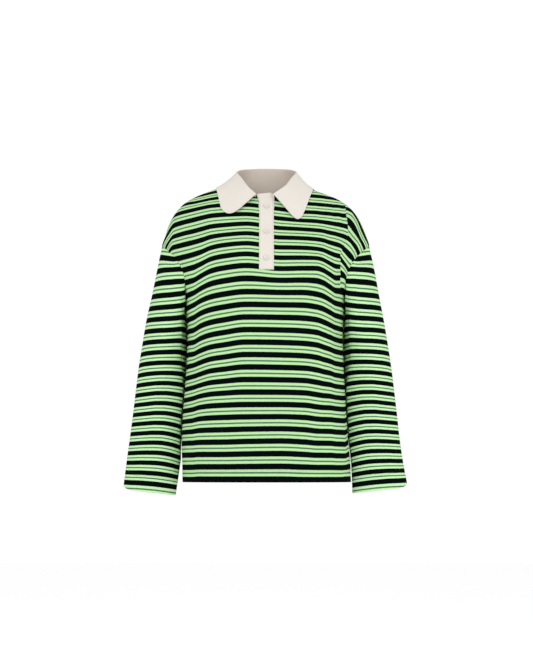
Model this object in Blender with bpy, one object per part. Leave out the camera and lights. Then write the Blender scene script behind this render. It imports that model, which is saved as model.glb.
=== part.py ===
"""A long-sleeved knitted polo shirt, hollow and worn, with a wide round-cornered collar.

Frame: metres, +Z up, +X to the viewer's right, the front faces -Y. The origin lies between
the shoulders, just below the neck points, where the wearer carries the shirt.
Every cloth piece is a wall: a grid of outer points, the same grid moved inwards by the
cloth's thickness, and a rim that joins the two along the cut edges.
"""
import math

import bmesh
import bpy
import numpy as np

# Cloth
CLOTH = 0.0016  # knitted body and sleeves
COLLAR_CLOTH = 0.0018  # woven collar
BAND_CLOTH = 0.0015  # placket bands
SEAM_GAP = 0.0003  # between two pieces at a seam

# Heights of the body
HEM_Z = -0.6395
UNDERARM_Z = -0.240
SHOULDER_END_Z = -0.124  # outer end of the dropped shoulder
NECK_POINT_X = 0.0755
NECK_POINT_Z = 0.016
FRONT_NECK_Z = -0.026
BACK_NECK_Z = 0.010
NECK_DIP_POWER = 1.3  # how square the front neckline is

# Armhole
ARMHOLE_SCOOP = 0.022  # how far its front and back run in towards the chest

# Placket
SLOT_HALF = 0.0172  # half the width of the slit in the front
SLOT_BOTTOM_Z = -0.1920
BAND_HALF = 0.0155
BAND_TOP_Z = -0.0148
BAND_BOTTOM_Z = -0.1970
BAND_LEAN = 0.0055  # the open top of the upper band leans to one side
BAND_TILT = 0.0017  # and its top edge slopes by twice this
BAND_LEAN_FROM_Z = -0.042

# Buttons
BUTTON_RADIUS = 0.0058
BUTTON_DEPTH = 0.0024
BUTTON_HEIGHTS = (-0.0478, -0.1106, -0.1713)

# Collar
FOLD_RADIUS = 0.0026
LEAF_CLEAR = 0.0030  # middle of the leaf above the body where it lies on it
CORNER_CUT = {"left": 0.034, "right": 0.020}  # where the round corner starts
STAND_INSET = 0.0022
STAND_LIFT = 0.0010

# Grids
HALF_COLUMNS = {"shoulder": 7, "neckline": 7, "band": 1}
LOWER_ROWS = 13
UPPER_ROWS = 11
SLEEVE_COLUMNS = 2 * UPPER_ROWS  # so that a sleeve meets the panels point to point
SLEEVE_ROWS = 20
LEAF_STEPS = 6
EVEN_FROM = 0.3  # share of the way up the armhole where the columns stand evenly

# One row for each level of the body: half widths on the viewer's left and right, depths
# in front and behind, and how square the section is.
LEVELS = {
    "z": (-0.6395, -0.600, -0.560, -0.505, -0.450, -0.385, -0.320, -0.265, -0.240,
          -0.190, -0.155, -0.124, -0.100, -0.075, -0.055, -0.040, -0.028,
          -0.0165, -0.006, 0.003, 0.010, 0.016, 0.026),
    "left": (0.1810, 0.1820, 0.1838, 0.1822, 0.1786, 0.1745, 0.1730, 0.1768, 0.1790,
             0.2017, 0.2177, 0.2318, 0.2265, 0.2190, 0.2100, 0.2005, 0.1910,
             0.1770, 0.1560, 0.1330, 0.1120, 0.0755, 0.0745),
    "right": (0.1820, 0.1812, 0.1775, 0.1737, 0.1708, 0.1683, 0.1674, 0.1703, 0.1734,
              0.1969, 0.2135, 0.2282, 0.2230, 0.2145, 0.2055, 0.1950, 0.1840,
              0.1685, 0.1448, 0.1200, 0.1000, 0.0755, 0.0745),
    "front": (0.1250, 0.1255, 0.1260, 0.1265, 0.1270, 0.1285, 0.1300, 0.1310, 0.1310,
              0.1290, 0.1230, 0.1105, 0.0965, 0.0845, 0.0745, 0.0670, 0.0610,
              0.0555, 0.0510, 0.0470, 0.0430, 0.0380, 0.0340),
    "back": (0.1150, 0.1145, 0.1130, 0.1110, 0.1080, 0.1060, 0.1070, 0.1100, 0.1110,
             0.1120, 0.1110, 0.1075, 0.1025, 0.0955, 0.0895, 0.0840, 0.0795,
             0.0745, 0.0695, 0.0650, 0.0605, 0.0560, 0.0470),
    "square": (2.4, 2.4, 2.4, 2.45, 2.5, 2.5, 2.5, 2.5, 2.45,
               2.3, 2.25, 2.2, 2.15, 2.15, 2.15, 2.15, 2.15,
               2.15, 2.15, 2.15, 2.15, 2.2, 2.2),
}

# One row for each ring of a sleeve, from the armhole to the cuff: its outer and inner
# edges, half its depth and its middle. share is the ring's place along the sleeve.
SLEEVE = {
    "share": (0.0, 0.05, 0.12, 0.2, 0.3, 0.4, 0.5, 0.6, 0.7, 0.8, 0.9, 1.0),
    "outer_left": (0.2318, 0.2376, 0.2447, 0.2527, 0.2640, 0.2724, 0.2800, 0.2858,
                   0.2911, 0.2969, 0.3027, 0.3081),
    "outer_right": (0.2282, 0.2342, 0.2414, 0.2484, 0.2578, 0.2660, 0.2732, 0.2790,
                    0.2842, 0.2887, 0.2951, 0.3032),
    "inner_left": (0.1790, 0.1755, 0.1715, 0.1690, 0.1680, 0.1680, 0.1695, 0.1730,
                   0.1780, 0.1840, 0.1895, 0.1954),
    "inner_right": (0.1734, 0.1700, 0.1670, 0.1650, 0.1630, 0.1620, 0.1630, 0.1660,
                    0.1705, 0.1755, 0.1800, 0.1846),
    "depth": (0.0660, 0.0655, 0.0645, 0.0625, 0.0590, 0.0550, 0.0510, 0.0470,
              0.0430, 0.0385, 0.0335, 0.0290),
    "middle_y": (0.0, 0.001, 0.002, 0.003, 0.004, 0.004, 0.003, 0.002, 0.0, -0.003, -0.006, -0.008),
}
CUFF_OUTER_Z = -0.6555
CUFF_INNER_Z = -0.6675
CUFF_CORNER = 0.008  # the cuff's outer corner is rounded up by this much
SLEEVE_CLEAR = 0.0030
SLEEVE_BLEND = 0.22  # share of the sleeve over which the armhole's shape fades

# One row for each section of half a collar, from its front end to just past the middle
# of the back, so that the two halves join without a corner.
COLLAR = {
    "turn": (18.5, 37.0, 60.0, 90.0, 118.0, 148.0, 180.0, 212.0),
    "fold_x": (0.0190, 0.0427, 0.0553, 0.0683, 0.0615, 0.0370, 0.0, -0.0370),
    "fold_y": (-0.0700, -0.0540, -0.0320, 0.0, 0.0290, 0.0540, 0.0625, 0.0540),
    "fold_z": (-0.0190, 0.0040, 0.0255, 0.0485, 0.0625, 0.0715, 0.0748, 0.0715),
    "edge_x": (0.0866, 0.0985, 0.1045, 0.1119, 0.1000, 0.0600, 0.0, -0.0600),
    "edge_y": (-0.0800, -0.0640, -0.0480, 0.0, 0.0440, 0.0670, 0.0740, 0.0670),
    "edge_z": (-0.0840, -0.0500, -0.0230, 0.0090, 0.0020, -0.0060, -0.0090, -0.0060),
    "bow": (0.001, 0.001, -0.004, -0.012, -0.004, 0.003, 0.004, 0.003),
}
FRONT_END_FOLD_X = {"left": 0.0235, "right": 0.0158}
RIGHT_LEAF_NARROW = (0.0185, 0.0045)  # at its front end and at the side

# The body's largest folds as soft ridges and troughs: the two ends in the front view, half
# the width and the height, which is below zero for a trough.
FRONT_FOLDS = {
    "x0": (-0.150, -0.126, 0.128, 0.152, 0.166, -0.120, 0.060, -0.205),
    "z0": (-0.230, -0.260, -0.230, -0.200, -0.050, -0.560, -0.560, -0.075),
    "x1": (-0.146, -0.112, 0.122, 0.158, 0.163, -0.135, 0.075, -0.200),
    "z1": (-0.460, -0.520, -0.520, -0.430, -0.240, -0.660, -0.660, -0.150),
    "width": (0.016, 0.022, 0.020, 0.012, 0.010, 0.030, 0.030, 0.008),
    "height": (-0.0040, 0.0030, 0.0035, -0.0040, -0.0035, 0.0025, 0.0025, -0.0025),
}
BACK_FOLDS = {
    "x0": (-0.140, -0.100, 0.110, 0.145, 0.030, -0.060),
    "z0": (-0.220, -0.250, -0.240, -0.220, -0.400, -0.520),
    "x1": (-0.130, -0.085, 0.095, 0.138, 0.020, -0.070),
    "z1": (-0.470, -0.540, -0.560, -0.450, -0.660, -0.660),
    "width": (0.015, 0.022, 0.022, 0.014, 0.030, 0.028),
    "height": (-0.0040, 0.0035, 0.0035, -0.0040, 0.0030, 0.0025),
}

# A sleeve's largest folds, as lines on it: share along it and turn round it in degrees,
# 0 outwards, 90 in front, 180 next to the body.
SLEEVE_FOLDS = {
    "share0": (0.06, 0.34, 0.46, 0.60, 0.40, 0.72),
    "turn0": (118.0, 150.0, 140.0, 60.0, 232.0, 250.0),
    "share1": (0.26, 0.42, 0.56, 0.88, 0.52, 0.95),
    "turn1": (150.0, 90.0, 85.0, 80.0, 290.0, 285.0),
    "width": (0.013, 0.012, 0.013, 0.016, 0.014, 0.018),
    "height": (-0.0035, -0.0025, -0.0022, -0.0025, -0.0030, -0.0025),
}

# Finishes
KNIT_GREEN = (0.42, 0.80, 0.33)
IVORY = (0.82, 0.76, 0.69)
BUTTON_IVORY = (0.80, 0.73, 0.64)


def smooth(x):
    """An even step from 0 to 1."""
    x = min(max(x, 0.0), 1.0)
    return x * x * (3 - 2 * x)


def through(xs, ys, x):
    """A smooth curve through the rows of a table, which never swings past a row."""
    xs, ys = np.asarray(xs, float), np.asarray(ys, float)
    x = min(max(x, xs[0]), xs[-1])
    i = int(min(max(np.searchsorted(xs, x) - 1, 0), len(xs) - 2))
    steps = np.diff(ys) / np.diff(xs)
    slopes = np.zeros(len(xs))
    slopes[0], slopes[-1] = steps[0], steps[-1]
    for k in range(1, len(xs) - 1):
        if steps[k - 1] * steps[k] > 0:
            slopes[k] = 2 * steps[k - 1] * steps[k] / (steps[k - 1] + steps[k])
    gap = xs[i + 1] - xs[i]
    t = (x - xs[i]) / gap
    start, end = ys[i], ys[i + 1]
    return (
        start * (1 + 2 * t) * (1 - t) ** 2
        + slopes[i] * gap * t * (1 - t) ** 2
        + end * t * t * (3 - 2 * t)
        + slopes[i + 1] * gap * t * t * (t - 1)
    )


def level(column, z):
    """One column of the body's table at a height."""
    return through(LEVELS["z"], LEVELS[column], z)


def half_width(side, z):
    """The body's half width. From underarm to shoulder end it follows the armhole's line."""
    column = "left" if side < 0 else "right"
    if UNDERARM_Z <= z <= SHOULDER_END_Z:
        t = (z - UNDERARM_Z) / (SHOULDER_END_Z - UNDERARM_Z)
        return (1 - t) * level(column, UNDERARM_Z) + t * level(column, SHOULDER_END_Z)
    return level(column, z)


def body_depth(x, z, face):
    """How far the body stands in front of the shoulder line, or behind it."""
    square = level("square", z)
    share = min(abs(x) / half_width(x, z), 1.0)
    return level(face, z) * (1 - share**square) ** (1 / square)


def body_level(p):
    """Above zero outside the body, below zero inside it."""
    x, y, z = p
    z = min(max(z, HEM_Z), LEVELS["z"][-1])
    square = level("square", z)
    face = "front" if y < 0 else "back"
    reach = (abs(x) / half_width(x, z)) ** square + (abs(y) / level(face, z)) ** square
    return reach ** (1 / square) - 1


def body_gap(p):
    """Distance from the body's surface and the direction straight out of it."""
    step = 0.0004
    slope = np.array(
        [(body_level(p + d) - body_level(p - d)) / (2 * step) for d in np.eye(3) * step]
    )
    size = max(float(np.linalg.norm(slope)), 1e-6)
    return body_level(p) / size, slope / size


def kept_clear(p, clear, exact=False):
    """Moves a point out until it is clear of the body, or exactly that far from it."""
    for _ in range(6):
        gap, out = body_gap(p)
        if gap < clear or exact:
            p = p + out * (clear - gap) * 0.9
    return p


def fold_height(folds, x, z):
    """The sum of the soft folds at a place in the front or back view."""
    total = 0.0
    for x0, z0, x1, z1, width, height in zip(*folds.values()):
        run = np.array([x1 - x0, z1 - z0])
        along = float(np.dot([x - x0, z - z0], run) / np.dot(run, run))
        near = min(max(along, 0.0), 1.0)
        off = math.hypot(x - x0 - near * run[0], z - z0 - near * run[1])
        fade = math.sin(math.pi * near) ** 0.7 if z1 > HEM_Z else math.sin(math.pi * near / 2)
        total += height * fade * math.exp(-((off / width) ** 2))
    return total


def normals_of(grid, closed=False):
    """Outward directions of a grid whose columns run to the viewer's right as seen from
    outside and whose rows run up."""
    if closed:
        across = np.roll(grid, -1, axis=1) - np.roll(grid, 1, axis=1)
    else:
        across = np.gradient(grid, axis=1)
    up = np.gradient(grid, axis=0)
    out = np.cross(across, up)
    return out / np.maximum(np.linalg.norm(out, axis=2, keepdims=True), 1e-12)


def wall_object(name, outer, inner, material, closed=False, left_out=()):
    """One closed wall between two grids of points. Cells named in left_out are open."""
    rows, columns = outer.shape[:2]
    last = columns if closed else columns - 1
    cells = [
        (r, c) for r in range(rows - 1) for c in range(last) if (r, c) not in left_out
    ]
    mesh = bpy.data.meshes.new(name)
    work = bmesh.new()
    made = {}

    def vertex(side, r, c):
        key = (side, r, c % columns)
        if key not in made:
            grid = outer if side == "outer" else inner
            made[key] = work.verts.new(grid[r, c % columns])
        return made[key]

    edges = {}
    for r, c in cells:
        corners = [(r, c), (r, c + 1), (r + 1, c + 1), (r + 1, c)]
        work.faces.new([vertex("outer", *k) for k in corners])
        work.faces.new([vertex("inner", *k) for k in reversed(corners)])
        for a, b in zip(corners, corners[1:] + corners[:1]):
            a, b = (a[0], a[1] % columns), (b[0], b[1] % columns)
            if (b, a) in edges:
                del edges[(b, a)]
            else:
                edges[(a, b)] = True
    for a, b in edges:
        work.faces.new(
            [vertex("outer", *b), vertex("outer", *a), vertex("inner", *a), vertex("inner", *b)]
        )
    bmesh.ops.triangulate(work, faces=work.faces, quad_method="SHORT_EDGE")
    bmesh.ops.recalc_face_normals(work, faces=work.faces)
    work.to_mesh(mesh)
    work.free()
    mesh.materials.append(material)
    mesh.shade_smooth()
    mesh.set_sharp_from_angle(angle=math.radians(50))
    piece = bpy.data.objects.new(name, mesh)
    bpy.context.scene.collection.objects.link(piece)
    return piece


def finish(name, colour, roughness):
    """A plain material in the finish's colour."""
    material = bpy.data.materials.new(name)
    material.use_nodes = True
    shader = material.node_tree.nodes["Principled BSDF"]
    shader.inputs["Base Color"].default_value = (*colour, 1)
    shader.inputs["Roughness"].default_value = roughness
    shader.inputs["Metallic"].default_value = 0
    return material


def armhole_plan(side, turn):
    """A place on the armhole in the front view: turn 0 at the shoulder, pi underarm."""
    middle_z = (SHOULDER_END_Z + UNDERARM_Z) / 2
    z = middle_z + (SHOULDER_END_Z - UNDERARM_Z) / 2 * math.cos(turn)
    return half_width(side, z) - ARMHOLE_SCOOP * math.sin(turn) ** 2, z


def armhole_point(side, turn, face):
    """A place on the armhole, on the body's front or back."""
    x, z = armhole_plan(side, turn)
    if math.sin(turn) < 1e-6:
        return np.array([side * half_width(side, z), 0.0, z])
    depth = body_depth(side * x, z, face)
    folds = FRONT_FOLDS if face == "front" else BACK_FOLDS
    depth += fold_height(folds, side * x, z) * math.sin(turn) ** 2
    return np.array([side * x, -depth if face == "front" else depth, z])


def neckline_plan(turn, face):
    """A place on the neckline in the front view: turn 0 in the middle, 90 at the side."""
    a = math.radians(turn)
    dip = max(math.cos(a), 0.0) ** NECK_DIP_POWER
    bottom = FRONT_NECK_Z if face == "front" else BACK_NECK_Z
    return NECK_POINT_X * math.sin(a), NECK_POINT_Z + (bottom - NECK_POINT_Z) * dip


def top_edge(side, share, face):
    """The panel's top edge in the front view, from the armhole to the band."""
    shoulder = HALF_COLUMNS["shoulder"]
    count = shoulder + HALF_COLUMNS["neckline"]
    step = share * count
    if step <= shoulder:
        t = step / shoulder
        z = SHOULDER_END_Z + (NECK_POINT_Z - SHOULDER_END_Z) * (1 - (1 - t) ** 1.8)
        return half_width(side, z), z
    t = (step - shoulder) / HALF_COLUMNS["neckline"]
    band_turn = math.degrees(math.asin(SLOT_HALF / NECK_POINT_X))
    return neckline_plan(90 + (band_turn - 90) * t, face)


def bottom_edge(side, share, z):
    """The columns' places across a level, close together where the body turns away."""
    width = half_width(side, z)
    band_angle = math.asin((SLOT_HALF / width) ** (level("square", z) / 2))
    angle = math.pi / 2 + (band_angle - math.pi / 2) * share
    return width * math.sin(angle) ** (2 / level("square", z))


def upper_place(side, share, rise, face):
    """A place on the upper half of a panel in the front view, blended from its edges."""
    width = half_width(side, UNDERARM_Z)
    even = width + (SLOT_HALF - width) * share
    mix = smooth(rise / EVEN_FROM)
    low_x = (1 - mix) * bottom_edge(side, share, UNDERARM_Z) + mix * even
    low = np.array([low_x, UNDERARM_Z])
    high = np.array(top_edge(side, share, face))
    outer = np.array(armhole_plan(side, math.pi * (1 - rise)))
    corner = {
        (a, b): np.array(
            [bottom_edge(side, a, UNDERARM_Z), UNDERARM_Z] if b == 0 else top_edge(side, a, face)
        )
        for a in (0, 1)
        for b in (0, 1)
    }
    inner = corner[1, 0] * (1 - rise) + corner[1, 1] * rise
    place = (1 - rise) * low + rise * high + (1 - share) * outer + share * inner
    for (a, b), point in corner.items():
        place = place - point * (share if a else 1 - share) * (rise if b else 1 - rise)
    return place


def panel_grids(face):
    """The outer and inner points of the front or the back, and the rows' heights."""
    half = sum(HALF_COLUMNS.values())
    sewn = half - HALF_COLUMNS["band"]
    sign = -1 if face == "front" else 1
    folds = FRONT_FOLDS if face == "front" else BACK_FOLDS
    columns = [(-1, c / sewn) for c in range(sewn + 1)] + [(0, 0.0)]
    columns += [(1, 1 - c / sewn) for c in range(sewn + 1)]
    lower = [
        HEM_Z + (UNDERARM_Z - HEM_Z) * r / LOWER_ROWS for r in range(LOWER_ROWS)
    ]
    places = []
    for z in lower:
        places.append([(s * bottom_edge(s, share, z) if s else 0.0, z) for s, share in columns])
    for r in range(UPPER_ROWS + 1):
        row = []
        for s, share in columns:
            if s:
                x, z = upper_place(s, share, r / UPPER_ROWS, face)
                row.append((s * x, z))
            else:
                top = FRONT_NECK_Z if face == "front" else BACK_NECK_Z
                row.append((0.0, UNDERARM_Z + (top - UNDERARM_Z) * r / UPPER_ROWS))
        places.append(row)
    outer = np.zeros((len(places), len(columns), 3))
    last = len(columns) - 1
    for r, row in enumerate(places):
        for c, (x, z) in enumerate(row):
            edge = c in (0, last) or (r == len(places) - 1 and abs(x) >= NECK_POINT_X - 1e-6)
            lift = 0.0 if edge else fold_height(folds, x, z)
            fade = min(min(c, last - c) / 2, 1.0) * min((len(places) - 1 - r) / 2, 1.0)
            if edge:
                depth = 0.0
                if c in (0, last) and LOWER_ROWS < r < len(places) - 1:
                    side = -1 if c == 0 else 1
                    turn = math.pi * (1 - (r - LOWER_ROWS) / UPPER_ROWS)
                    depth = sign * armhole_point(side, turn, face)[1]
            else:
                depth = body_depth(x, z, face) + lift * fade
            outer[r, c] = (x, sign * depth, z)
    normals = normals_of(outer) * (1 if face == "front" else -1)
    inward = -normals
    top = len(places) - 1
    shoulder = HALF_COLUMNS["shoulder"]
    # The two panels share their direction at a seam, so that neither leans into the other.
    inward[: LOWER_ROWS + 1, (0, last), 1:] = 0
    inward[top, : shoulder + 1, 1] = 0
    inward[top, last - shoulder :, 1] = 0
    inward[top, shoulder : last - shoulder + 1, 0] = 0
    inward /= np.linalg.norm(inward, axis=2, keepdims=True)
    inner = outer + CLOTH * inward
    # The seams: each panel stops half the gap short of the side and shoulder lines.
    for grid in (outer, inner):
        grid[: LOWER_ROWS + 1, (0, last), 1] += sign * SEAM_GAP / 2
        grid[top, : shoulder + 1, 1] += sign * SEAM_GAP / 2
        grid[top, last - shoulder :, 1] += sign * SEAM_GAP / 2
    if face == "back":
        outer, inner = outer[:, ::-1], inner[:, ::-1]
    return outer, inner


def front_piece(material):
    """The front, with the slit that the two bands fill."""
    outer, inner = panel_grids("front")
    middle = outer.shape[1] // 2
    rows = [r for r in range(outer.shape[0] - 1) if outer[r + 1, middle, 2] > SLOT_BOTTOM_Z]
    first = rows[0]
    # The row below the slit moves to its exact bottom.
    for c in range(middle - 1, middle + 2):
        x, z = outer[first, c, 0], SLOT_BOTTOM_Z
        outer[first, c] = (x, -body_depth(x, z, "front"), z)
        inner[first, c] = outer[first, c] + (0, CLOTH, 0)
    open_cells = {(r, c) for r in rows for c in (middle - 1, middle)}
    return wall_object("front", outer, inner, material, left_out=open_cells)


def back_piece(material):
    """The back."""
    outer, inner = panel_grids("back")
    return wall_object("back", outer, inner, material)


def sleeve_value(column, share):
    """One column of the sleeve's table at a share of its length."""
    return through(SLEEVE["share"], SLEEVE[column], share)


def sleeve_ring(side, share, turn):
    """A place on a sleeve before it is fitted to the armhole: turn 0 faces outwards."""
    name = "left" if side < 0 else "right"
    outer_x = sleeve_value("outer_" + name, share)
    inner_x = sleeve_value("inner_" + name, share)
    outer_z = SHOULDER_END_Z + (CUFF_OUTER_Z - SHOULDER_END_Z) * share
    inner_z = UNDERARM_Z + (CUFF_INNER_Z - UNDERARM_Z) * share
    scoop = ARMHOLE_SCOOP * max(1 - share / 0.3, 0.0)
    x = (outer_x + inner_x) / 2 + (outer_x - inner_x) / 2 * math.cos(turn)
    x -= scoop * math.sin(turn) ** 2
    z = (outer_z + inner_z) / 2 + (outer_z - inner_z) / 2 * math.cos(turn)
    z += CUFF_CORNER * share**8 * max(math.cos(turn), 0.0) ** 6
    y = sleeve_value("middle_y", share) - sleeve_value("depth", share) * math.sin(turn)
    return np.array([side * x, y, z])


def armhole_all_round(side, turn):
    """The armhole's seam line for a turn all the way round, 90 degrees in front."""
    turn = turn % (2 * math.pi)
    if turn <= math.pi:
        return armhole_point(side, turn, "front")
    return armhole_point(side, 2 * math.pi - turn, "back")


def sleeve_fold(share, turn):
    """The sum of a sleeve's folds, in metres out from it."""
    total = 0.0
    length, girth = 0.47, 0.33
    for share0, turn0, share1, turn1, width, height in zip(*SLEEVE_FOLDS.values()):
        start = np.array([share0 * length, turn0 / 360 * girth])
        run = np.array([share1 * length, turn1 / 360 * girth]) - start
        spot = np.array([share * length, math.degrees(turn) % 360 / 360 * girth]) - start
        near = min(max(float(np.dot(spot, run) / np.dot(run, run)), 0.0), 1.0)
        off = float(np.linalg.norm(spot - near * run))
        total += height * math.sin(math.pi * near) ** 0.7 * math.exp(-((off / width) ** 2))
    return total


def sleeve_piece(side, material):
    """A sleeve from its armhole to its open cuff, pressed clear of the body."""
    rows, columns = SLEEVE_ROWS + 1, SLEEVE_COLUMNS
    outer = np.zeros((rows, columns, 3))
    top = armhole_point(side, 0.0, "front")
    bottom = armhole_point(side, math.pi, "front")
    along = (bottom - top) / np.linalg.norm(bottom - top)
    away = np.array([-along[2] * side, 0.0, along[0] * side])
    for r in range(rows):
        share = r / SLEEVE_ROWS
        fade = 1 - smooth(share / SLEEVE_BLEND)
        for c in range(columns):
            turn = 2 * math.pi * c / columns
            fit = armhole_all_round(side, turn) - sleeve_ring(side, 0.0, turn)
            point = sleeve_ring(side, share, turn) + fade * fit
            if r == 0:
                point = point + away * SEAM_GAP
            else:
                clear = SEAM_GAP + (SLEEVE_CLEAR - SEAM_GAP) * smooth(share / 0.09)
                point = kept_clear(point, clear)
            outer[r, c] = point
    # Seen from outside the columns run to the viewer's right once they are reversed on
    # one side, and the rows run up once they are turned over.
    outer = outer[::-1]
    if side > 0:
        outer = outer[:, ::-1]
    normals = normals_of(outer, closed=True)
    for r in range(1, rows - 1):
        for c in range(columns):
            turn = 2 * math.pi * (c if side < 0 else columns - 1 - c) / columns
            share = 1 - r / SLEEVE_ROWS
            outer[r, c] += normals[r, c] * sleeve_fold(share, turn)
    normals = normals_of(outer, closed=True)
    inner = outer - CLOTH * normals
    name = "sleeve_left" if side < 0 else "sleeve_right"
    return wall_object(name, outer, inner, material, closed=True)


def collar_value(column, turn):
    """One column of the collar's table at a turn from the front."""
    return through(COLLAR["turn"], COLLAR[column], turn)


def collar_fold(side, turn):
    """The top of the collar's fold."""
    name = "left" if side < 0 else "right"
    near_end = max(1 - (turn - COLLAR["turn"][0]) / 20, 0.0)
    x = collar_value("fold_x", turn)
    x += (FRONT_END_FOLD_X[name] - COLLAR["fold_x"][0]) * near_end
    return np.array([side * x, collar_value("fold_y", turn), collar_value("fold_z", turn)])


def collar_edge(side, turn):
    """The leaf's outer edge before its corner is rounded, lying on the body."""
    x, z = collar_value("edge_x", turn), collar_value("edge_z", turn)
    if side > 0:
        first, at_side = COLLAR["turn"][0], 90.0
        x -= float(np.interp(turn, (first, at_side, 180.0), (*RIGHT_LEAF_NARROW, 0.0)))
    y = collar_value("edge_y", turn)
    return kept_clear(np.array([side * x, y, z]), LEAF_CLEAR, exact=True)


def collar_column(side, turn, reach):
    """Points across the collar: up the stand, round the fold and down the leaf."""
    face = "front" if turn <= 90 else "back"
    from_middle = turn if turn <= 90 else 180 - turn
    x, z = neckline_plan(from_middle, face)
    y = body_depth(side * x, z, face)
    seam = np.array([side * x, -y if face == "front" else y, z])
    flat = np.array([seam[0], seam[1], 0.0])
    seam = seam - flat / np.linalg.norm(flat) * STAND_INSET + (0, 0, STAND_LIFT)
    top = collar_fold(side, turn)
    edge = collar_edge(side, turn)
    out = np.array([top[0] - seam[0] * 0.2, top[1] - seam[1] * 0.2, 0.0])
    out = out / np.linalg.norm(out)
    centre = top - np.array([0, 0, FOLD_RADIUS])
    stand_top = centre - out * FOLD_RADIUS
    points = [seam + (stand_top - seam) * t / 4 for t in range(4)]
    for angle in (180, 135, 90, 45):
        a = math.radians(angle)
        points.append(centre + FOLD_RADIUS * (out * math.cos(a) + np.array([0, 0, math.sin(a)])))
    start = centre + out * FOLD_RADIUS
    _, away = body_gap(edge)
    control = start * 0.5 + edge * 0.5 + away * collar_value("bow", turn)
    for k in range(LEAF_STEPS + 1):
        t = k / LEAF_STEPS * reach
        point = (1 - t) ** 2 * start + 2 * t * (1 - t) * control + t * t * edge
        points.append(kept_clear(point, LEAF_CLEAR))
    return points


def collar_piece(material):
    """The collar: its stand, its fold and its leaf with round front corners."""
    halves = {}
    for side, name in ((-1, "left"), (1, "right")):
        first = COLLAR["turn"][0]
        tip = collar_edge(side, first)
        run = np.linalg.norm(collar_edge(side, 40.0) - tip) / (40.0 - first)
        length = np.linalg.norm(tip - collar_fold(side, first))
        cut = CORNER_CUT[name]
        # The round corner: columns at even steps of its curve, then even turns.
        sections = []
        for k in range(6):
            t = 1 - k / 5
            from_end = cut * (1 - t) ** 2
            lost = cut * (1 - math.sqrt(from_end / cut)) ** 2
            sections.append((first + from_end / run, 1 - lost / length))
        start = sections[-1][0]
        rest = 13
        sections += [(start + (180 - start) * k / rest, 1.0) for k in range(1, rest + 1)]
        halves[name] = [collar_column(side, turn, reach) for turn, reach in sections]
    columns = halves["left"] + halves["right"][-2::-1]
    middle = np.array(columns).transpose(1, 0, 2)[::-1]
    normals = normals_of(middle)
    outer = middle + normals * COLLAR_CLOTH / 2
    inner = middle - normals * COLLAR_CLOTH / 2
    return wall_object("collar", outer, inner, material)


def band_grids(left, right, top, bottom, rows, columns, out, lean=0.0):
    """A strip that follows the front, moved out from it."""
    outer = np.zeros((rows + 1, columns + 1, 3))
    inner = np.zeros_like(outer)
    for r in range(rows + 1):
        z = bottom + (top - bottom) * r / rows
        opened = smooth((z - BAND_LEAN_FROM_Z) / (BAND_TOP_Z - BAND_LEAN_FROM_Z))
        for c in range(columns + 1):
            x = left + (right - left) * c / columns - lean * opened
            level_z = z + (BAND_TILT * opened * (2 * c / columns - 1) if lean else 0.0)
            y = -body_depth(x, level_z, "front")
            ahead = -body_depth(x, level_z + 0.002, "front")
            behind = -body_depth(x, level_z - 0.002, "front")
            up = np.array([0, ahead - behind, 0.004])
            normal = np.array([0, -up[2], up[1]]) / np.linalg.norm(up)
            outer[r, c] = np.array([x, y, level_z]) + normal * out
            inner[r, c] = np.array([x, y, level_z]) + normal * (out - BAND_CLOTH)
    return outer, inner


def band_pieces(material):
    """The under band fills the slit, and the upper band lies over it and its edges."""
    edge = SLOT_HALF - SEAM_GAP
    under = band_grids(-edge, edge, BAND_TOP_Z, SLOT_BOTTOM_Z + SEAM_GAP, 12, 3, 0.0)
    wall_object("placket_under", *under, material)
    out = BAND_CLOTH + SEAM_GAP
    upper = band_grids(-BAND_HALF, BAND_HALF, BAND_TOP_Z, BAND_BOTTOM_Z, 14, 3, out, BAND_LEAN)
    wall_object("placket_upper", *upper, material)


def button_piece(number, height, material):
    """A round button with a raised rim, flat on the upper band."""
    profile = (
        (0.0, 0.0), (0.85, 0.0), (1.0, 0.25), (1.0, 0.7), (0.88, 1.0), (0.7, 0.95),
        (0.55, 0.62), (0.0, 0.62),
    )
    sides = 20
    work = bmesh.new()
    rings = []
    for share, deep in profile:
        radius, out = share * BUTTON_RADIUS, deep * BUTTON_DEPTH
        if radius == 0:
            rings.append([work.verts.new((0, 0, out))])
        else:
            turns = [2 * math.pi * k / sides for k in range(sides)]
            rings.append(
                [work.verts.new((radius * math.cos(a), radius * math.sin(a), out)) for a in turns]
            )
    for low, high in zip(rings, rings[1:]):
        for k in range(sides):
            following = (k + 1) % sides
            if len(low) == 1:
                work.faces.new([low[0], high[following], high[k]])
            elif len(high) == 1:
                work.faces.new([low[k], low[following], high[0]])
            else:
                work.faces.new([low[k], low[following], high[following], high[k]])
    bmesh.ops.recalc_face_normals(work, faces=work.faces)
    mesh = bpy.data.meshes.new(f"button_{number}")
    work.to_mesh(mesh)
    work.free()
    mesh.materials.append(material)
    mesh.shade_smooth()
    mesh.set_sharp_from_angle(angle=math.radians(40))
    piece = bpy.data.objects.new(f"button_{number}", mesh)
    bpy.context.scene.collection.objects.link(piece)
    rise = BUTTON_RADIUS
    above = body_depth(0.0, height + rise, "front")
    below = body_depth(0.0, height - rise, "front")
    middle = body_depth(0.0, height, "front")
    lean = math.atan2(below - above, 2 * rise)
    bow = max((above + below) / 2 - middle, middle - (above + below) / 2)
    out = BAND_CLOTH + SEAM_GAP * 2 + bow
    normal = np.array([0.0, -math.cos(lean), math.sin(lean)])
    piece.location = np.array([0.0, -middle, height]) + normal * out
    piece.rotation_euler = (math.pi / 2 - lean, 0, 0)
    return piece


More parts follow.
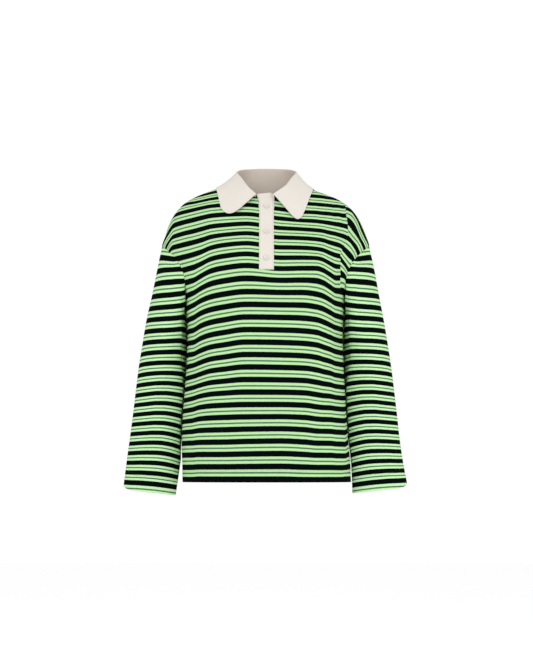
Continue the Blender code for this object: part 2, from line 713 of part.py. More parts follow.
def main():
    """Builds the shirt."""
    for old in list(bpy.data.objects):
        bpy.data.objects.remove(old)
    knit = finish("striped_knit", KNIT_GREEN, 0.9)
    ivory = finish("ivory_cloth", IVORY, 0.85)
    shell = finish("button_shell", BUTTON_IVORY, 0.35)
    front_piece(knit)
    back_piece(knit)
    for side in (-1, 1):
        sleeve_piece(side, knit)
    collar_piece(ivory)
    band_pieces(ivory)
    for number, height in enumerate(BUTTON_HEIGHTS, 1):
        button_piece(number, height, shell)


main()
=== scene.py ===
"""A striped long-sleeved polo shirt, worn and hollow, dressed over its solids."""
import math

import bpy
import numpy as np
from bpy.props import FloatProperty, FloatVectorProperty, PointerProperty
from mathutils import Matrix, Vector
from mathutils.bvhtree import BVHTree


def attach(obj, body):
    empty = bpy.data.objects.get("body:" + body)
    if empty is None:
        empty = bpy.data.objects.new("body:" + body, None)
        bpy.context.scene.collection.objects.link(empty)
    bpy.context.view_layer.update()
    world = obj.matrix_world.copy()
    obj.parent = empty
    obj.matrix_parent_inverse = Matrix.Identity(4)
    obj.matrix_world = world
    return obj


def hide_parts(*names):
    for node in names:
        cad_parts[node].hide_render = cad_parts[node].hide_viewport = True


bl_info = {
    "name": "Striped Polo Shirt",
    "version": (1, 0, 0),
    "blender": (4, 5, 0),
    "location": "3D View > Sidebar > Polo Shirt",
    "description": "Makes a striped long-sleeved polo shirt with a wide round collar",
    "category": "Add Mesh",
}

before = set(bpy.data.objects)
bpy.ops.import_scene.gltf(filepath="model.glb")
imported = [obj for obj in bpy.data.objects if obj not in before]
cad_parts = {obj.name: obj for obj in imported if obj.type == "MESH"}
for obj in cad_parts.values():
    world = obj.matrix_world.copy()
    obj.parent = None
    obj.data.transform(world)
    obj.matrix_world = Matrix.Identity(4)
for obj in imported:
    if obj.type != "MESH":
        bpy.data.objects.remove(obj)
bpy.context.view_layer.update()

# The shirt's form, the same as in its solids, in metres.
SEAM_GAP = 0.0003
HEM_Z = -0.6395
UNDERARM_Z = -0.240
SHOULDER_END_Z = -0.124
NECK_POINT_X = 0.0755
NECK_POINT_Z = 0.016
FRONT_NECK_Z = -0.026
BACK_NECK_Z = 0.010
NECK_DIP_POWER = 1.3
ARMHOLE_SCOOP = 0.022
SLOT_HALF = 0.0172
SLOT_BOTTOM_Z = -0.1920
SLOT_TUCKED = 0.0024
TUCKED_FROM_Z = -0.045
TUCKED_FADE = 0.02
BAND_HALF = 0.0155
BAND_TOP_Z = -0.0148
BAND_BOTTOM_Z = -0.1970
BAND_CLOTH = 0.0015
BAND_LEAN = 0.0055
BAND_TILT = 0.0017
BAND_LEAN_FROM_Z = -0.042
BUTTON_RADIUS = 0.0062
BUTTON_DEPTH = 0.0024
BUTTON_SIDES = 48
BUTTON_FACE = 0.62  # share of the depth
BUTTON_HEIGHTS = (-0.0478, -0.1106, -0.1713)
COLLAR_CLOTH = 0.0018
FOLD_RADIUS = 0.0015
LEAF_CLEAR = 0.0018
CORNER_CUT = {"left": 0.047, "right": 0.026}
STAND_INSET = 0.0022
STAND_LIFT = 0.0010
EVEN_FROM = 0.3
CUFF_OUTER_Z = -0.6555
CUFF_INNER_Z = -0.6675
CUFF_CORNER = 0.008
SLEEVE_CLEAR = 0.0030
SLEEVE_BLEND = 0.22
EDGE_FADE = 12  # rows or columns in which a panel's folds die out
STITCH_ROWS_APART = 0.004
HEM_THREAD_RADIUS = 0.0002

# Fine grids: a panel's half from armhole to slit and its rows, a sleeve's rows, the collar's
# rows up the stand, round the fold and down the leaf, and its columns from the front end.
SHOULDER_COLUMNS = 44
NECKLINE_COLUMNS = 36
BAND_COLUMNS = 10
LOWER_ROWS = 117
UPPER_ROWS = 66
SLEEVE_ROWS = 160
SLEEVE_COLUMNS = 2 * UPPER_ROWS
STAND_ROWS = 12
FOLD_ROWS = 12
LEAF_ROWS = 26
CORNER_COLUMNS = 20
SIDE_COLUMNS = 52

LEVELS = {
    "z": (-0.6395, -0.600, -0.560, -0.505, -0.450, -0.385, -0.320, -0.265, -0.240,
          -0.190, -0.155, -0.124, -0.100, -0.075, -0.055, -0.040, -0.028,
          -0.0165, -0.006, 0.003, 0.010, 0.016, 0.026),
    "left": (0.1810, 0.1820, 0.1838, 0.1822, 0.1786, 0.1745, 0.1730, 0.1768, 0.1790,
             0.2017, 0.2177, 0.2318, 0.2255, 0.2175, 0.2080, 0.1980, 0.1870,
             0.1710, 0.1492, 0.1260, 0.1055, 0.0755, 0.0745),
    "right": (0.1820, 0.1812, 0.1775, 0.1737, 0.1708, 0.1683, 0.1674, 0.1703, 0.1734,
              0.1969, 0.2135, 0.2282, 0.2220, 0.2128, 0.2026, 0.1912, 0.1783,
              0.1608, 0.1362, 0.1120, 0.0940, 0.0755, 0.0745),
    "front": (0.1250, 0.1255, 0.1260, 0.1265, 0.1270, 0.1285, 0.1300, 0.1310, 0.1310,
              0.1290, 0.1230, 0.1105, 0.0965, 0.0845, 0.0745, 0.0670, 0.0610,
              0.0555, 0.0510, 0.0470, 0.0430, 0.0380, 0.0340),
    "back": (0.1150, 0.1145, 0.1130, 0.1110, 0.1080, 0.1060, 0.1070, 0.1100, 0.1110,
             0.1120, 0.1110, 0.1075, 0.1025, 0.0955, 0.0895, 0.0840, 0.0795,
             0.0745, 0.0695, 0.0650, 0.0605, 0.0560, 0.0470),
    "square": (2.4, 2.4, 2.4, 2.45, 2.5, 2.5, 2.5, 2.5, 2.45,
               2.3, 2.25, 2.2, 2.15, 2.15, 2.15, 2.15, 2.15,
               2.15, 2.15, 2.15, 2.15, 2.2, 2.2),
}
SLEEVE = {
    "share": (0.0, 0.05, 0.12, 0.2, 0.3, 0.4, 0.5, 0.6, 0.7, 0.8, 0.9, 1.0),
    "outer_left": (0.2318, 0.2376, 0.2447, 0.2527, 0.2640, 0.2724, 0.2800, 0.2858,
                   0.2911, 0.2969, 0.3027, 0.3081),
    "outer_right": (0.2282, 0.2342, 0.2414, 0.2484, 0.2578, 0.2660, 0.2732, 0.2790,
                    0.2842, 0.2887, 0.2951, 0.3032),
    "inner_left": (0.1790, 0.1755, 0.1715, 0.1690, 0.1680, 0.1680, 0.1695, 0.1730,
                   0.1780, 0.1840, 0.1895, 0.1954),
    "inner_right": (0.1734, 0.1700, 0.1670, 0.1650, 0.1630, 0.1620, 0.1630, 0.1660,
                    0.1705, 0.1755, 0.1800, 0.1846),
    "depth": (0.0660, 0.0655, 0.0645, 0.0625, 0.0590, 0.0550, 0.0510, 0.0470,
              0.0430, 0.0385, 0.0335, 0.0290),
    "middle_y": (0.0, 0.001, 0.002, 0.003, 0.004, 0.004, 0.003, 0.002, 0.0, -0.003, -0.006, -0.008),
}
COLLAR = {
    "turn": (18.5, 37.0, 60.0, 90.0, 118.0, 148.0, 180.0, 212.0),
    "fold_x": (0.0190, 0.0427, 0.0550, 0.0668, 0.0560, 0.0350, 0.0, -0.0350),
    "fold_y": (-0.0700, -0.0540, -0.0320, 0.0, 0.0290, 0.0540, 0.0625, 0.0540),
    "fold_z": (-0.0190, 0.0040, 0.0255, 0.0480, 0.0615, 0.0700, 0.0733, 0.0700),
    "edge_x": (0.0866, 0.0985, 0.1045, 0.1095, 0.0900, 0.0560, 0.0, -0.0560),
    "edge_y": (-0.0800, -0.0640, -0.0480, 0.0, 0.0440, 0.0670, 0.0740, 0.0670),
    "edge_z": (-0.0840, -0.0500, -0.0230, 0.0050, 0.0010, -0.0060, -0.0090, -0.0060),
    "bow": (0.001, 0.001, -0.001, -0.004, -0.002, 0.003, 0.004, 0.003),
}
FRONT_END_FOLD_X = {"left": 0.0235, "right": 0.0158}
RIGHT_LEAF_NARROW = (0.0185, 0.0045)
RIGHT_LEAF_LONGER = 0.0085

# Folds that the solids have too, then the finer creases that only the cloth here has. Each
# is a soft ridge or trough: its two ends in the front view, half its width and its height.
FRONT_FOLDS = {
    "x0": (-0.150, -0.126, 0.128, 0.152, 0.166, -0.120, 0.060, -0.205),
    "z0": (-0.230, -0.260, -0.230, -0.200, -0.050, -0.560, -0.560, -0.075),
    "x1": (-0.146, -0.112, 0.122, 0.158, 0.163, -0.135, 0.075, -0.200),
    "z1": (-0.460, -0.520, -0.520, -0.430, -0.240, -0.660, -0.660, -0.150),
    "width": (0.016, 0.022, 0.020, 0.012, 0.010, 0.030, 0.030, 0.008),
    "height": (-0.0040, 0.0030, 0.0035, -0.0040, -0.0035, 0.0025, 0.0025, -0.0025),
}
BACK_FOLDS = {
    "x0": (-0.140, -0.100, 0.110, 0.145, 0.030, -0.060),
    "z0": (-0.220, -0.250, -0.240, -0.220, -0.400, -0.520),
    "x1": (-0.130, -0.085, 0.095, 0.138, 0.020, -0.070),
    "z1": (-0.470, -0.540, -0.560, -0.450, -0.660, -0.660),
    "width": (0.015, 0.022, 0.022, 0.014, 0.030, 0.028),
    "height": (-0.0040, 0.0035, 0.0035, -0.0040, 0.0030, 0.0025),
}
SLEEVE_FOLDS = {
    "share0": (0.06, 0.34, 0.46, 0.60, 0.40, 0.72),
    "turn0": (118.0, 150.0, 140.0, 60.0, 232.0, 250.0),
    "share1": (0.26, 0.42, 0.56, 0.88, 0.52, 0.95),
    "turn1": (150.0, 90.0, 85.0, 80.0, 290.0, 285.0),
    "width": (0.013, 0.012, 0.013, 0.016, 0.014, 0.018),
    "height": (-0.0035, -0.0025, -0.0022, -0.0025, -0.0030, -0.0025),
}
FRONT_CREASES = {
    "x0": (0.1700, 0.1725, 0.1600, -0.2070, -0.152, -0.120, -0.095, 0.118, 0.090, 0.145, -0.060,
           -0.160, 0.150, -0.025, 0.035, -0.165, 0.160),
    "z0": (-0.052, -0.100, -0.150, -0.105, -0.170, -0.140, -0.290, -0.150, -0.260, -0.300, -0.400,
           -0.345, -0.390, -0.205, -0.210, -0.560, -0.540),
    "x1": (0.1735, 0.1620, 0.1560, -0.2020, -0.140, -0.100, -0.075, 0.098, 0.080, 0.128, -0.075,
           -0.118, 0.112, -0.060, 0.070, -0.125, 0.120),
    "z1": (-0.105, -0.150, -0.262, -0.150, -0.262, -0.215, -0.420, -0.235, -0.400, -0.395, -0.540,
           -0.390, -0.430, -0.270, -0.280, -0.600, -0.575),
    "width": (0.0050, 0.0055, 0.0050, 0.0050, 0.011, 0.013, 0.015, 0.012, 0.016, 0.010, 0.018,
              0.010, 0.010, 0.012, 0.013, 0.012, 0.011),
    "height": (-0.0030, -0.0028, -0.0022, -0.0026, -0.0016, 0.0014, -0.0012, 0.0015, -0.0011, 0.0013,
               0.0010, -0.0014, -0.0013, -0.0008, -0.0009, 0.0009, -0.0009),
}
BACK_CREASES = {
    "x0": (-0.178, 0.176, -0.125, 0.118, -0.050, 0.062, -0.150, 0.150, 0.000, -0.150, 0.140,
           -0.020, 0.085),
    "z0": (-0.075, -0.080, -0.150, -0.140, -0.090, -0.100, -0.330, -0.350, -0.300, -0.470, -0.520,
           -0.540, -0.580),
    "x1": (-0.168, 0.165, -0.090, 0.092, -0.090, 0.100, -0.105, 0.100, -0.012, -0.110, 0.105,
           -0.035, 0.070),
    "z1": (-0.190, -0.200, -0.230, -0.240, -0.150, -0.165, -0.380, -0.390, -0.450, -0.500, -0.560,
           -0.640, -0.640),
    "width": (0.007, 0.007, 0.012, 0.012, 0.014, 0.013, 0.010, 0.011, 0.018, 0.011, 0.012,
              0.016, 0.014),
    "height": (-0.0030, -0.0028, 0.0016, -0.0015, -0.0012, 0.0012, -0.0016, -0.0014, -0.0012,
               0.0012, -0.0012, 0.0013, -0.0010),
}
SLEEVE_CREASES = {
    "share0": (0.08, 0.12, 0.30, 0.38, 0.43, 0.52, 0.62, 0.70, 0.82, 0.33, 0.47, 0.60, 0.78, 0.20,
               0.06),
    "turn0": (70.0, 160.0, 165.0, 160.0, 55.0, 150.0, 40.0, 130.0, 70.0, 205.0, 215.0, 300.0,
              240.0, 330.0, 146.0),
    "share1": (0.22, 0.24, 0.33, 0.44, 0.48, 0.55, 0.72, 0.74, 0.94, 0.38, 0.50, 0.68, 0.84, 0.34,
               0.48),
    "turn1": (95.0, 120.0, 105.0, 100.0, 120.0, 95.0, 110.0, 75.0, 110.0, 265.0, 280.0, 250.0,
              300.0, 300.0, 150.0),
    "width": (0.009, 0.008, 0.007, 0.008, 0.008, 0.008, 0.011, 0.009, 0.012, 0.008, 0.009, 0.010,
              0.010, 0.012, 0.012),
    "height": (-0.0014, 0.0013, -0.0014, 0.0013, -0.0012, 0.0012, -0.0012, 0.0010, -0.0012,
               -0.0016, 0.0014, -0.0014, 0.0012, -0.0012, -0.0080),
}

# How the stripes hang, as heights in millimetres. One row for each counted dark stripe, up
# from the hem or the cuff, and one column for each place across.
FRONT_STRIPES = {
    "x": (-228, -215, -203, -190, -172, -158, -140, -118, -90, -45, 30, 80, 106, 120, 134, 148,
          158, 166, 176, 187, 197, 207, 220, 232),
    0: (-633, -633, -633, -633, -633, -633, -632, -632, -632, -632, -632, -633, -633, -633, -633,
        -633, -633, -632, -632, -632, -632, -632, -632, -632),
    3: (-557, -557, -557, -557, -557, -557, -556, -556, -556, -555, -554, -556, -558, -558, -558,
        -559, -559, -559, -554, -554, -554, -554, -554, -554),
    6: (-488, -488, -488, -488, -488, -487, -483, -481, -480, -479, -479, -480, -483, -484, -484,
        -485, -485, -484, -480, -480, -480, -480, -480, -480),
    9: (-418, -418, -418, -418, -418, -417, -413, -408, -405, -401, -402, -403, -406, -409, -411,
        -414, -414, -413, -409, -409, -409, -409, -409, -409),
    12: (-342, -342, -342, -342, -342, -343, -337, -332, -328, -323, -324, -325, -327, -331, -335,
         -338, -338, -336, -338, -342, -346, -350, -356, -362),
    15: (-266, -266, -266, -266, -266, -264, -257, -251, -247, -243, -245, -244, -246, -249, -255,
         -260, -260, -260, -264, -274, -286, -298, -314, -330),
    17: (-210, -214, -216, -214, -213, -212, -205, -196, -191, -187, -194, -192, -191, -194, -201,
         -207, -205, -206, -216, -234, -252, -268, -288, -304),
    19: (-172, -162, -160, -160, -159, -157, -153, -145, -140, -137, -147, -147, -148, -150, -155,
         -159, -160, -167, -176, -182, -204, -228, -256, -275),
    21: (-142, -124, -109, -107, -104, -102, -98, -93, -91, -89, -100, -102, -103, -104, -107,
         -109, -111, -112, -117, -128, -139, -153, -173, -191),
    23: (-92, -64, -54, -52, -50, -48, -45, -42, -41, -42, -53, -59, -59, -60, -60, -61, -60,
         -61, -60, -64, -74, -92, -112, -130),
    25: (-40, -20, -13, -12, -11, -12, -10, -6, -2, 4, -6, -15, -17, -17, -18, -18, -18,
         -18, -16, -16, -31, -42, -60, -78),
    27: (5, 12, 20, 24, 26, 28, 30, 34, 38, 44, 38, 30, 28, 28, 26, 26, 26, 26, 24, 20, 6,
         -6, -24, -42),
}
BACK_STRIPES = {
    "x": (-215, -172, -125, -70, 0, 70, 125, 166, 205),
    0: (-633, -633, -632, -632, -632, -632, -632, -632, -632),
    3: (-557, -557, -555, -554, -554, -554, -556, -559, -559),
    6: (-488, -488, -481, -478, -477, -479, -482, -485, -485),
    9: (-418, -418, -408, -402, -400, -402, -408, -412, -412),
    12: (-342, -342, -331, -325, -322, -325, -331, -336, -336),
    15: (-266, -266, -253, -246, -243, -246, -253, -260, -266),
    17: (-219, -213, -200, -193, -190, -193, -199, -206, -236),
    19: (-170, -159, -147, -140, -137, -140, -147, -163, -206),
    21: (-124, -106, -96, -90, -86, -90, -98, -113, -158),
    23: (-74, -52, -45, -38, -34, -38, -46, -60, -90),
    25: (-26, -10, -4, 6, 10, 6, -4, -16, -44),
    27: (10, 28, 36, 46, 50, 46, 36, 26, 2),
}
SLEEVE_STRIPES = {
    "x": (0, 120, 250, 400, 550, 700, 850, 1000),
    0: (-650.0, -647.5, -645.4, -643.2, -641.7, -640.5, -639.9, -639.0),
    3: (-588.0, -583.4, -579.8, -577.5, -577.0, -577.0, -577.6, -578.0),
    6: (-524.5, -519.9, -516.3, -514.0, -513.7, -514.6, -515.8, -516.8),
    9: (-456.5, -453.9, -451.8, -450.3, -450.3, -451.6, -453.0, -454.2),
    12: (-385.6, -385.1, -384.8, -385.0, -385.3, -385.9, -386.8, -388.4),
    15: (-310.5, -311.6, -312.8, -314.8, -315.8, -315.8, -315.6, -315.0),
    18: (-229.0, -232.2, -235.2, -237.6, -238.7, -239.4, -238.9, -237.3),
    20: (-177.0, -180.0, -183.0, -184.5, -184.0, -183.5, -182.0, -181.0),
    21: (-150.0, -154.0, -157.0, -158.5, -160.0, -160.5, -156.0, -148.5),
    23: (-98.0, -101.0, -103.0, -104.0, -105.0, -106.0, -102.0, -96.0),
}
RIGHT_SLEEVE_RISE = 0.0042  # at the cuff, fading to the armhole

# Where the stripes step on the viewer's right: a line down the front, and how many repeats
# lie hidden past it, on the shoulder and below it by the armhole.
STEP_LINE = {
    "z": (-0.66, -0.27, -0.16, -0.15, -0.12, -0.097, -0.049),
    "x": (0.1590, 0.1585, 0.1580, 0.1600, 0.1755, 0.1775, 0.1740),
}
SHOULDER_STEP = 0.8
SHOULDER_STEP_Z = -0.04
SHOULDER_STEP_FADE = 0.085
ARMHOLE_STEP = {
    "z": (-0.240, -0.225, -0.210, -0.197, -0.180, -0.166, -0.147, -0.130),
    "repeats": (-1.0, -0.95, -0.81, -0.62, -0.37, -0.23, -0.10, 0.0),
}

# Millimetres to a stripe below and above the tables, how far up the body's stripes are moved,
# and the lowest counts that show.
STRIPE_BELOW = 25.9
STRIPE_ABOVE = 22.0
BODY_STRIPES_UP = 0.03
LOWEST_ON_BODY = -0.2
LOWEST_ON_SLEEVE = -0.76

# Over the flat tops of the shoulders the stripes keep their true spacing: the place from which
# that is judged, how flat the cloth has to lie there, and from which height up.
SEEN_FROM_Y = 2.4
SEEN_FROM_Z = -0.62
FLAT_FACING = 0.20
FLAT_FADE = 0.18
FLAT_FROM_Z = -0.13
FLAT_RISE = 0.05
FLAT_SPACING = 0.94

# A button from the middle of its back to the middle of its face: shares of radius and depth.
BUTTON_PROFILE = (
    (0.0, 0.0), (0.80, 0.0), (0.93, 0.10), (1.0, 0.28), (1.0, 0.66), (0.97, 0.86),
    (0.90, 0.98), (0.82, 1.0), (0.74, 0.92), (0.66, 0.74), (0.56, 0.64), (0.30, BUTTON_FACE),
    (0.0, BUTTON_FACE),
)

# The studio: name, place, height of the aim, size and share of the key light's power.
LIGHTS = (
    ("key", (-1.4, -2.6, 1.2), -0.3, 2.4, 1.0),
    ("fill", (1.8, -2.2, 0.2), -0.35, 2.4, 0.7),
    ("left side", (-3.0, -0.9, 0.0), -0.35, 2.0, 0.25),
    ("right side", (3.0, -0.9, 0.0), -0.35, 2.0, 0.25),
    ("behind", (0.6, 3.2, 1.0), -0.35, 2.4, 1.1),
)
BACKDROP_SEEN = 1.02
FLOOR_SEEN = 0.42
FRAMED_HALF_HEIGHT = 0.7326


def smooth(x):
    """An even step from 0 to 1."""
    x = np.clip(x, 0.0, 1.0)
    return x * x * (3 - 2 * x)


def through(xs, ys, x):
    """A smooth curve through a table's rows that never swings past one. The places in xs are
    one column, or one for each point."""
    x = np.asarray(x, float)
    shape, x = x.shape, x.ravel()
    xs, ys = np.asarray(xs, float), np.asarray(ys, float)
    x = np.clip(x, xs[0], xs[-1])
    if xs.ndim == 1:
        here = np.clip(np.searchsorted(xs, x) - 1, 0, len(xs) - 2)
        ahead = here + 1
    else:
        row, point = np.clip((xs < x).sum(axis=0) - 1, 0, len(xs) - 2), np.arange(x.size)
        here, ahead = (row, point), (row + 1, point)
        ys = np.repeat(ys[:, None], x.size, axis=1)
    steps = np.diff(ys, axis=0) / np.diff(xs, axis=0)
    slopes = np.zeros_like(ys)
    slopes[0], slopes[-1] = steps[0], steps[-1]
    product = steps[:-1] * steps[1:]
    total = np.where(product > 0, steps[:-1] + steps[1:], 1.0)
    slopes[1:-1] = np.where(product > 0, 2 * product / total, 0.0)
    gap = xs[ahead] - xs[here]
    t = (x - xs[here]) / gap
    value = (
        ys[here] * (1 + 2 * t) * (1 - t) ** 2
        + slopes[here] * gap * t * (1 - t) ** 2
        + ys[ahead] * t * t * (3 - 2 * t)
        + slopes[ahead] * gap * t * t * (t - 1)
    )
    return value.reshape(shape)


def level(column, z):
    """One column of the body's table at heights."""
    return through(LEVELS["z"], LEVELS[column], z)


def half_width(side, z):
    """The body's half width. From underarm to shoulder end it follows the armhole's line."""
    z = np.asarray(z, float)
    side = np.broadcast_to(np.asarray(side, float), z.shape)
    t = (z - UNDERARM_Z) / (SHOULDER_END_Z - UNDERARM_Z)
    widths = []
    for column in ("left", "right"):
        straight = (1 - t) * level(column, UNDERARM_Z) + t * level(column, SHOULDER_END_Z)
        widths.append(np.where((t >= 0) & (t <= 1), straight, level(column, z)))
    return np.where(side < 0, widths[0], widths[1])


def body_depth(x, z, face):
    """How far the body stands in front of the shoulder line, or behind it."""
    square = level("square", z)
    share = np.minimum(np.abs(x) / half_width(x, z), 1.0)
    return level(face, z) * (1 - share**square) ** (1 / square)


def body_level(p):
    """Above zero outside the body, below zero inside it."""
    x, y, z = p[..., 0], p[..., 1], np.clip(p[..., 2], HEM_Z, LEVELS["z"][-1])
    square = level("square", z)
    depth = np.where(y < 0, level("front", z), level("back", z))
    reach = (np.abs(x) / half_width(x, z)) ** square + (np.abs(y) / depth) ** square
    return reach ** (1 / square) - 1


def body_gap(p):
    """Distance from the body's surface and the direction straight out of it."""
    step = 0.0004
    slope = np.stack(
        [(body_level(p + d) - body_level(p - d)) / (2 * step) for d in np.eye(3) * step], axis=-1
    )
    size = np.maximum(np.linalg.norm(slope, axis=-1), 1e-6)
    return body_level(p) / size, slope / size[..., None]


def kept_clear(p, clear, exact=False):
    """Moves points out until they are clear of the body, or exactly that far from it."""
    for _ in range(6):
        gap, out = body_gap(p)
        short = clear - gap if exact else np.maximum(clear - gap, 0.0)
        p = p + out * (short * 0.9)[..., None]
    return p


def fold_height(folds, x, z):
    """The sum of soft folds at places in the front or back view."""
    total = np.zeros(np.shape(x))
    for x0, z0, x1, z1, width, height in zip(*folds.values()):
        run = np.array([x1 - x0, z1 - z0])
        along = ((x - x0) * run[0] + (z - z0) * run[1]) / run.dot(run)
        near = np.clip(along, 0.0, 1.0)
        off = np.hypot(x - x0 - near * run[0], z - z0 - near * run[1])
        fade = np.sin(math.pi * near) ** 0.7 if z1 > HEM_Z else np.sin(math.pi * near / 2)
        total += height * fade * np.exp(-((off / width) ** 2))
    return total


def sleeve_fold(folds, share, turn):
    """The sum of a sleeve's soft folds, in metres out from it."""
    length, girth = 0.47, 0.33
    total = np.zeros(np.shape(share))
    for share0, turn0, share1, turn1, width, height in zip(*folds.values()):
        a, b = share0 * length, turn0 / 360 * girth
        run = np.array([share1 * length - a, turn1 / 360 * girth - b])
        du, dv = share * length - a, np.degrees(turn) % 360 / 360 * girth - b
        near = np.clip((du * run[0] + dv * run[1]) / run.dot(run), 0.0, 1.0)
        off = np.hypot(du - near * run[0], dv - near * run[1])
        total += height * np.sin(math.pi * near) ** 0.7 * np.exp(-((off / width) ** 2))
    return total


def stripe_count(table, x, z):
    """How many stripes lie below each place, from a table of stripe heights."""
    counts = [key for key in table if key != "x"]
    across = np.ravel(np.asarray(x, float)) * 1000
    heights = np.stack([through(table["x"], table[n], across) for n in counts])
    up = np.ravel(np.asarray(z, float)) * 1000
    below, above = heights[0] - up, up - heights[-1]
    count = through(heights, np.array(counts, float), up)
    count = np.where(below > 0, counts[0] - below / STRIPE_BELOW, count)
    count = np.where(above > 0, counts[-1] + above / STRIPE_ABOVE, count)
    return count.reshape(np.shape(x))


def evened(counts, outer, face):
    """Stripe counts that keep the stripes' true spacing over the shoulders' flat tops, where
    the front view hardly shows them."""
    seen_y = -SEEN_FROM_Y if face == "front" else SEEN_FROM_Y
    to_place = outer[:-1] - np.array([0.0, seen_y, SEEN_FROM_Z])
    to_place /= np.linalg.norm(to_place, axis=2, keepdims=True)
    facing = -(normals_of(outer)[:-1] * to_place).sum(axis=2)
    flat = smooth((FLAT_FACING - facing) / FLAT_FADE)
    flat = flat * smooth((outer[:-1, :, 2] - FLAT_FROM_Z) / FLAT_RISE)
    step = np.diff(outer, axis=0)
    repeat = bpy.context.scene.shirt.stripe_repeat
    true_step = np.hypot(step[..., 1], step[..., 2]) / repeat * FLAT_SPACING
    found = np.diff(counts, axis=0)
    found += flat * np.maximum(true_step - found, 0.0)
    return counts[:1] + np.concatenate([counts[:1] * 0, np.cumsum(found, axis=0)])


def shoulder_tuck(x, z):
    """How far each place lies past the line on the viewer's right where the stripes step, in
    metres, and how many stripes lie hidden there."""
    above = SHOULDER_STEP * (1 - smooth((SHOULDER_STEP_Z - z) / SHOULDER_STEP_FADE))
    below = through(*ARMHOLE_STEP.values(), z)
    return x - through(*STEP_LINE.values(), z), above + below


def normals_of(grid, closed=False):
    """Outward directions of a grid whose columns run to the viewer's right as seen from
    outside and whose rows run up."""
    if closed:
        across = np.roll(grid, -1, axis=1) - np.roll(grid, 1, axis=1)
    else:
        across = np.gradient(grid, axis=1)
    out = np.cross(across, np.gradient(grid, axis=0))
    return out / np.maximum(np.linalg.norm(out, axis=2, keepdims=True), 1e-12)


def lengths_across(grid, closed=False):
    """Lengths along each row of a grid, from its first column."""
    if closed:
        grid = np.concatenate([grid, grid[:, :1]], axis=1)
    steps = np.linalg.norm(np.diff(grid, axis=1), axis=2)
    return np.concatenate([np.zeros((len(grid), 1)), np.cumsum(steps, axis=1)], axis=1)


def shell(
    name, outer, inner, flat, material,
    closed=False, left_out=None, tuck=None, painted_shade=None, shade_from_row=0,
):
    """One closed wall between two grids of points, with its flat cut as its UV map, and
    where a fold hides part of the stripes as a second map. A darker material, painted
    shade, covers the inner face from one row up."""
    rows, columns = outer.shape[:2]
    last = columns if closed else columns - 1
    r, c = np.meshgrid(np.arange(rows - 1), np.arange(last), indexing="ij")
    keep = np.ones(r.shape, bool) if left_out is None else ~left_out
    r, c = r[keep], c[keep]
    corners = np.stack([(r, c), (r, c + 1), (r + 1, c + 1), (r + 1, c)], axis=0)
    spots = corners[:, 0] * columns + corners[:, 1] % columns
    count = rows * columns
    wide = flat.shape[1]
    charts = corners[:, 0] * wide + corners[:, 1]
    faces = [spots.T, spots.T[:, ::-1] + count]
    maps = [charts.T, charts.T[:, ::-1]]
    edges = {}
    for face, chart in zip(spots.T.tolist(), charts.T.tolist()):
        for k in range(4):
            a, b = face[k], face[(k + 1) % 4]
            if (b, a) in edges:
                del edges[(b, a)]
            else:
                edges[(a, b)] = (chart[k], chart[(k + 1) % 4])
    rim = np.array([(b, a, a + count, b + count) for a, b in edges])
    rim_map = np.array([(cb, ca, ca, cb) for ca, cb in edges.values()])
    faces = np.concatenate(faces + [rim])
    maps = np.concatenate(maps + [rim_map])
    points = np.concatenate([outer.reshape(-1, 3), inner.reshape(-1, 3)])
    used = np.zeros(len(points), bool)
    used[faces.ravel()] = True
    order = np.cumsum(used) - 1
    mesh = bpy.data.meshes.new(name)
    mesh.from_pydata(points[used].tolist(), [], order[faces].tolist())
    for label, values in (("Cut", flat), ("Tuck", tuck)):
        if values is not None:
            layer = mesh.uv_layers.new(name=label)
            spots = values.reshape(-1, 2)[maps.ravel()]
            layer.data.foreach_set("uv", spots.ravel().astype(np.float32))
    mesh.materials.append(material)
    # The inner faces from that row on take the darker material: painted shade inside the stand.
    if painted_shade:
        mesh.materials.append(painted_shade)
        shaded_faces = np.zeros(len(faces), int)
        shaded_faces[len(r) : 2 * len(r)] = r >= shade_from_row
        mesh.polygons.foreach_set("material_index", shaded_faces)
    mesh.validate()
    mesh.shade_smooth()
    mesh.set_sharp_from_angle(angle=math.radians(55))
    return linked(name, mesh)


def linked(name, mesh):
    """A new object of the scene with this mesh."""
    piece = bpy.data.objects.new(name, mesh)
    bpy.context.scene.collection.objects.link(piece)
    return piece


def placed(piece, slot, *nodes):
    """The piece rides on the shirt's body, and stands for its solids."""
    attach(piece, "root")
    if nodes:
        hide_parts(*nodes)
    return piece


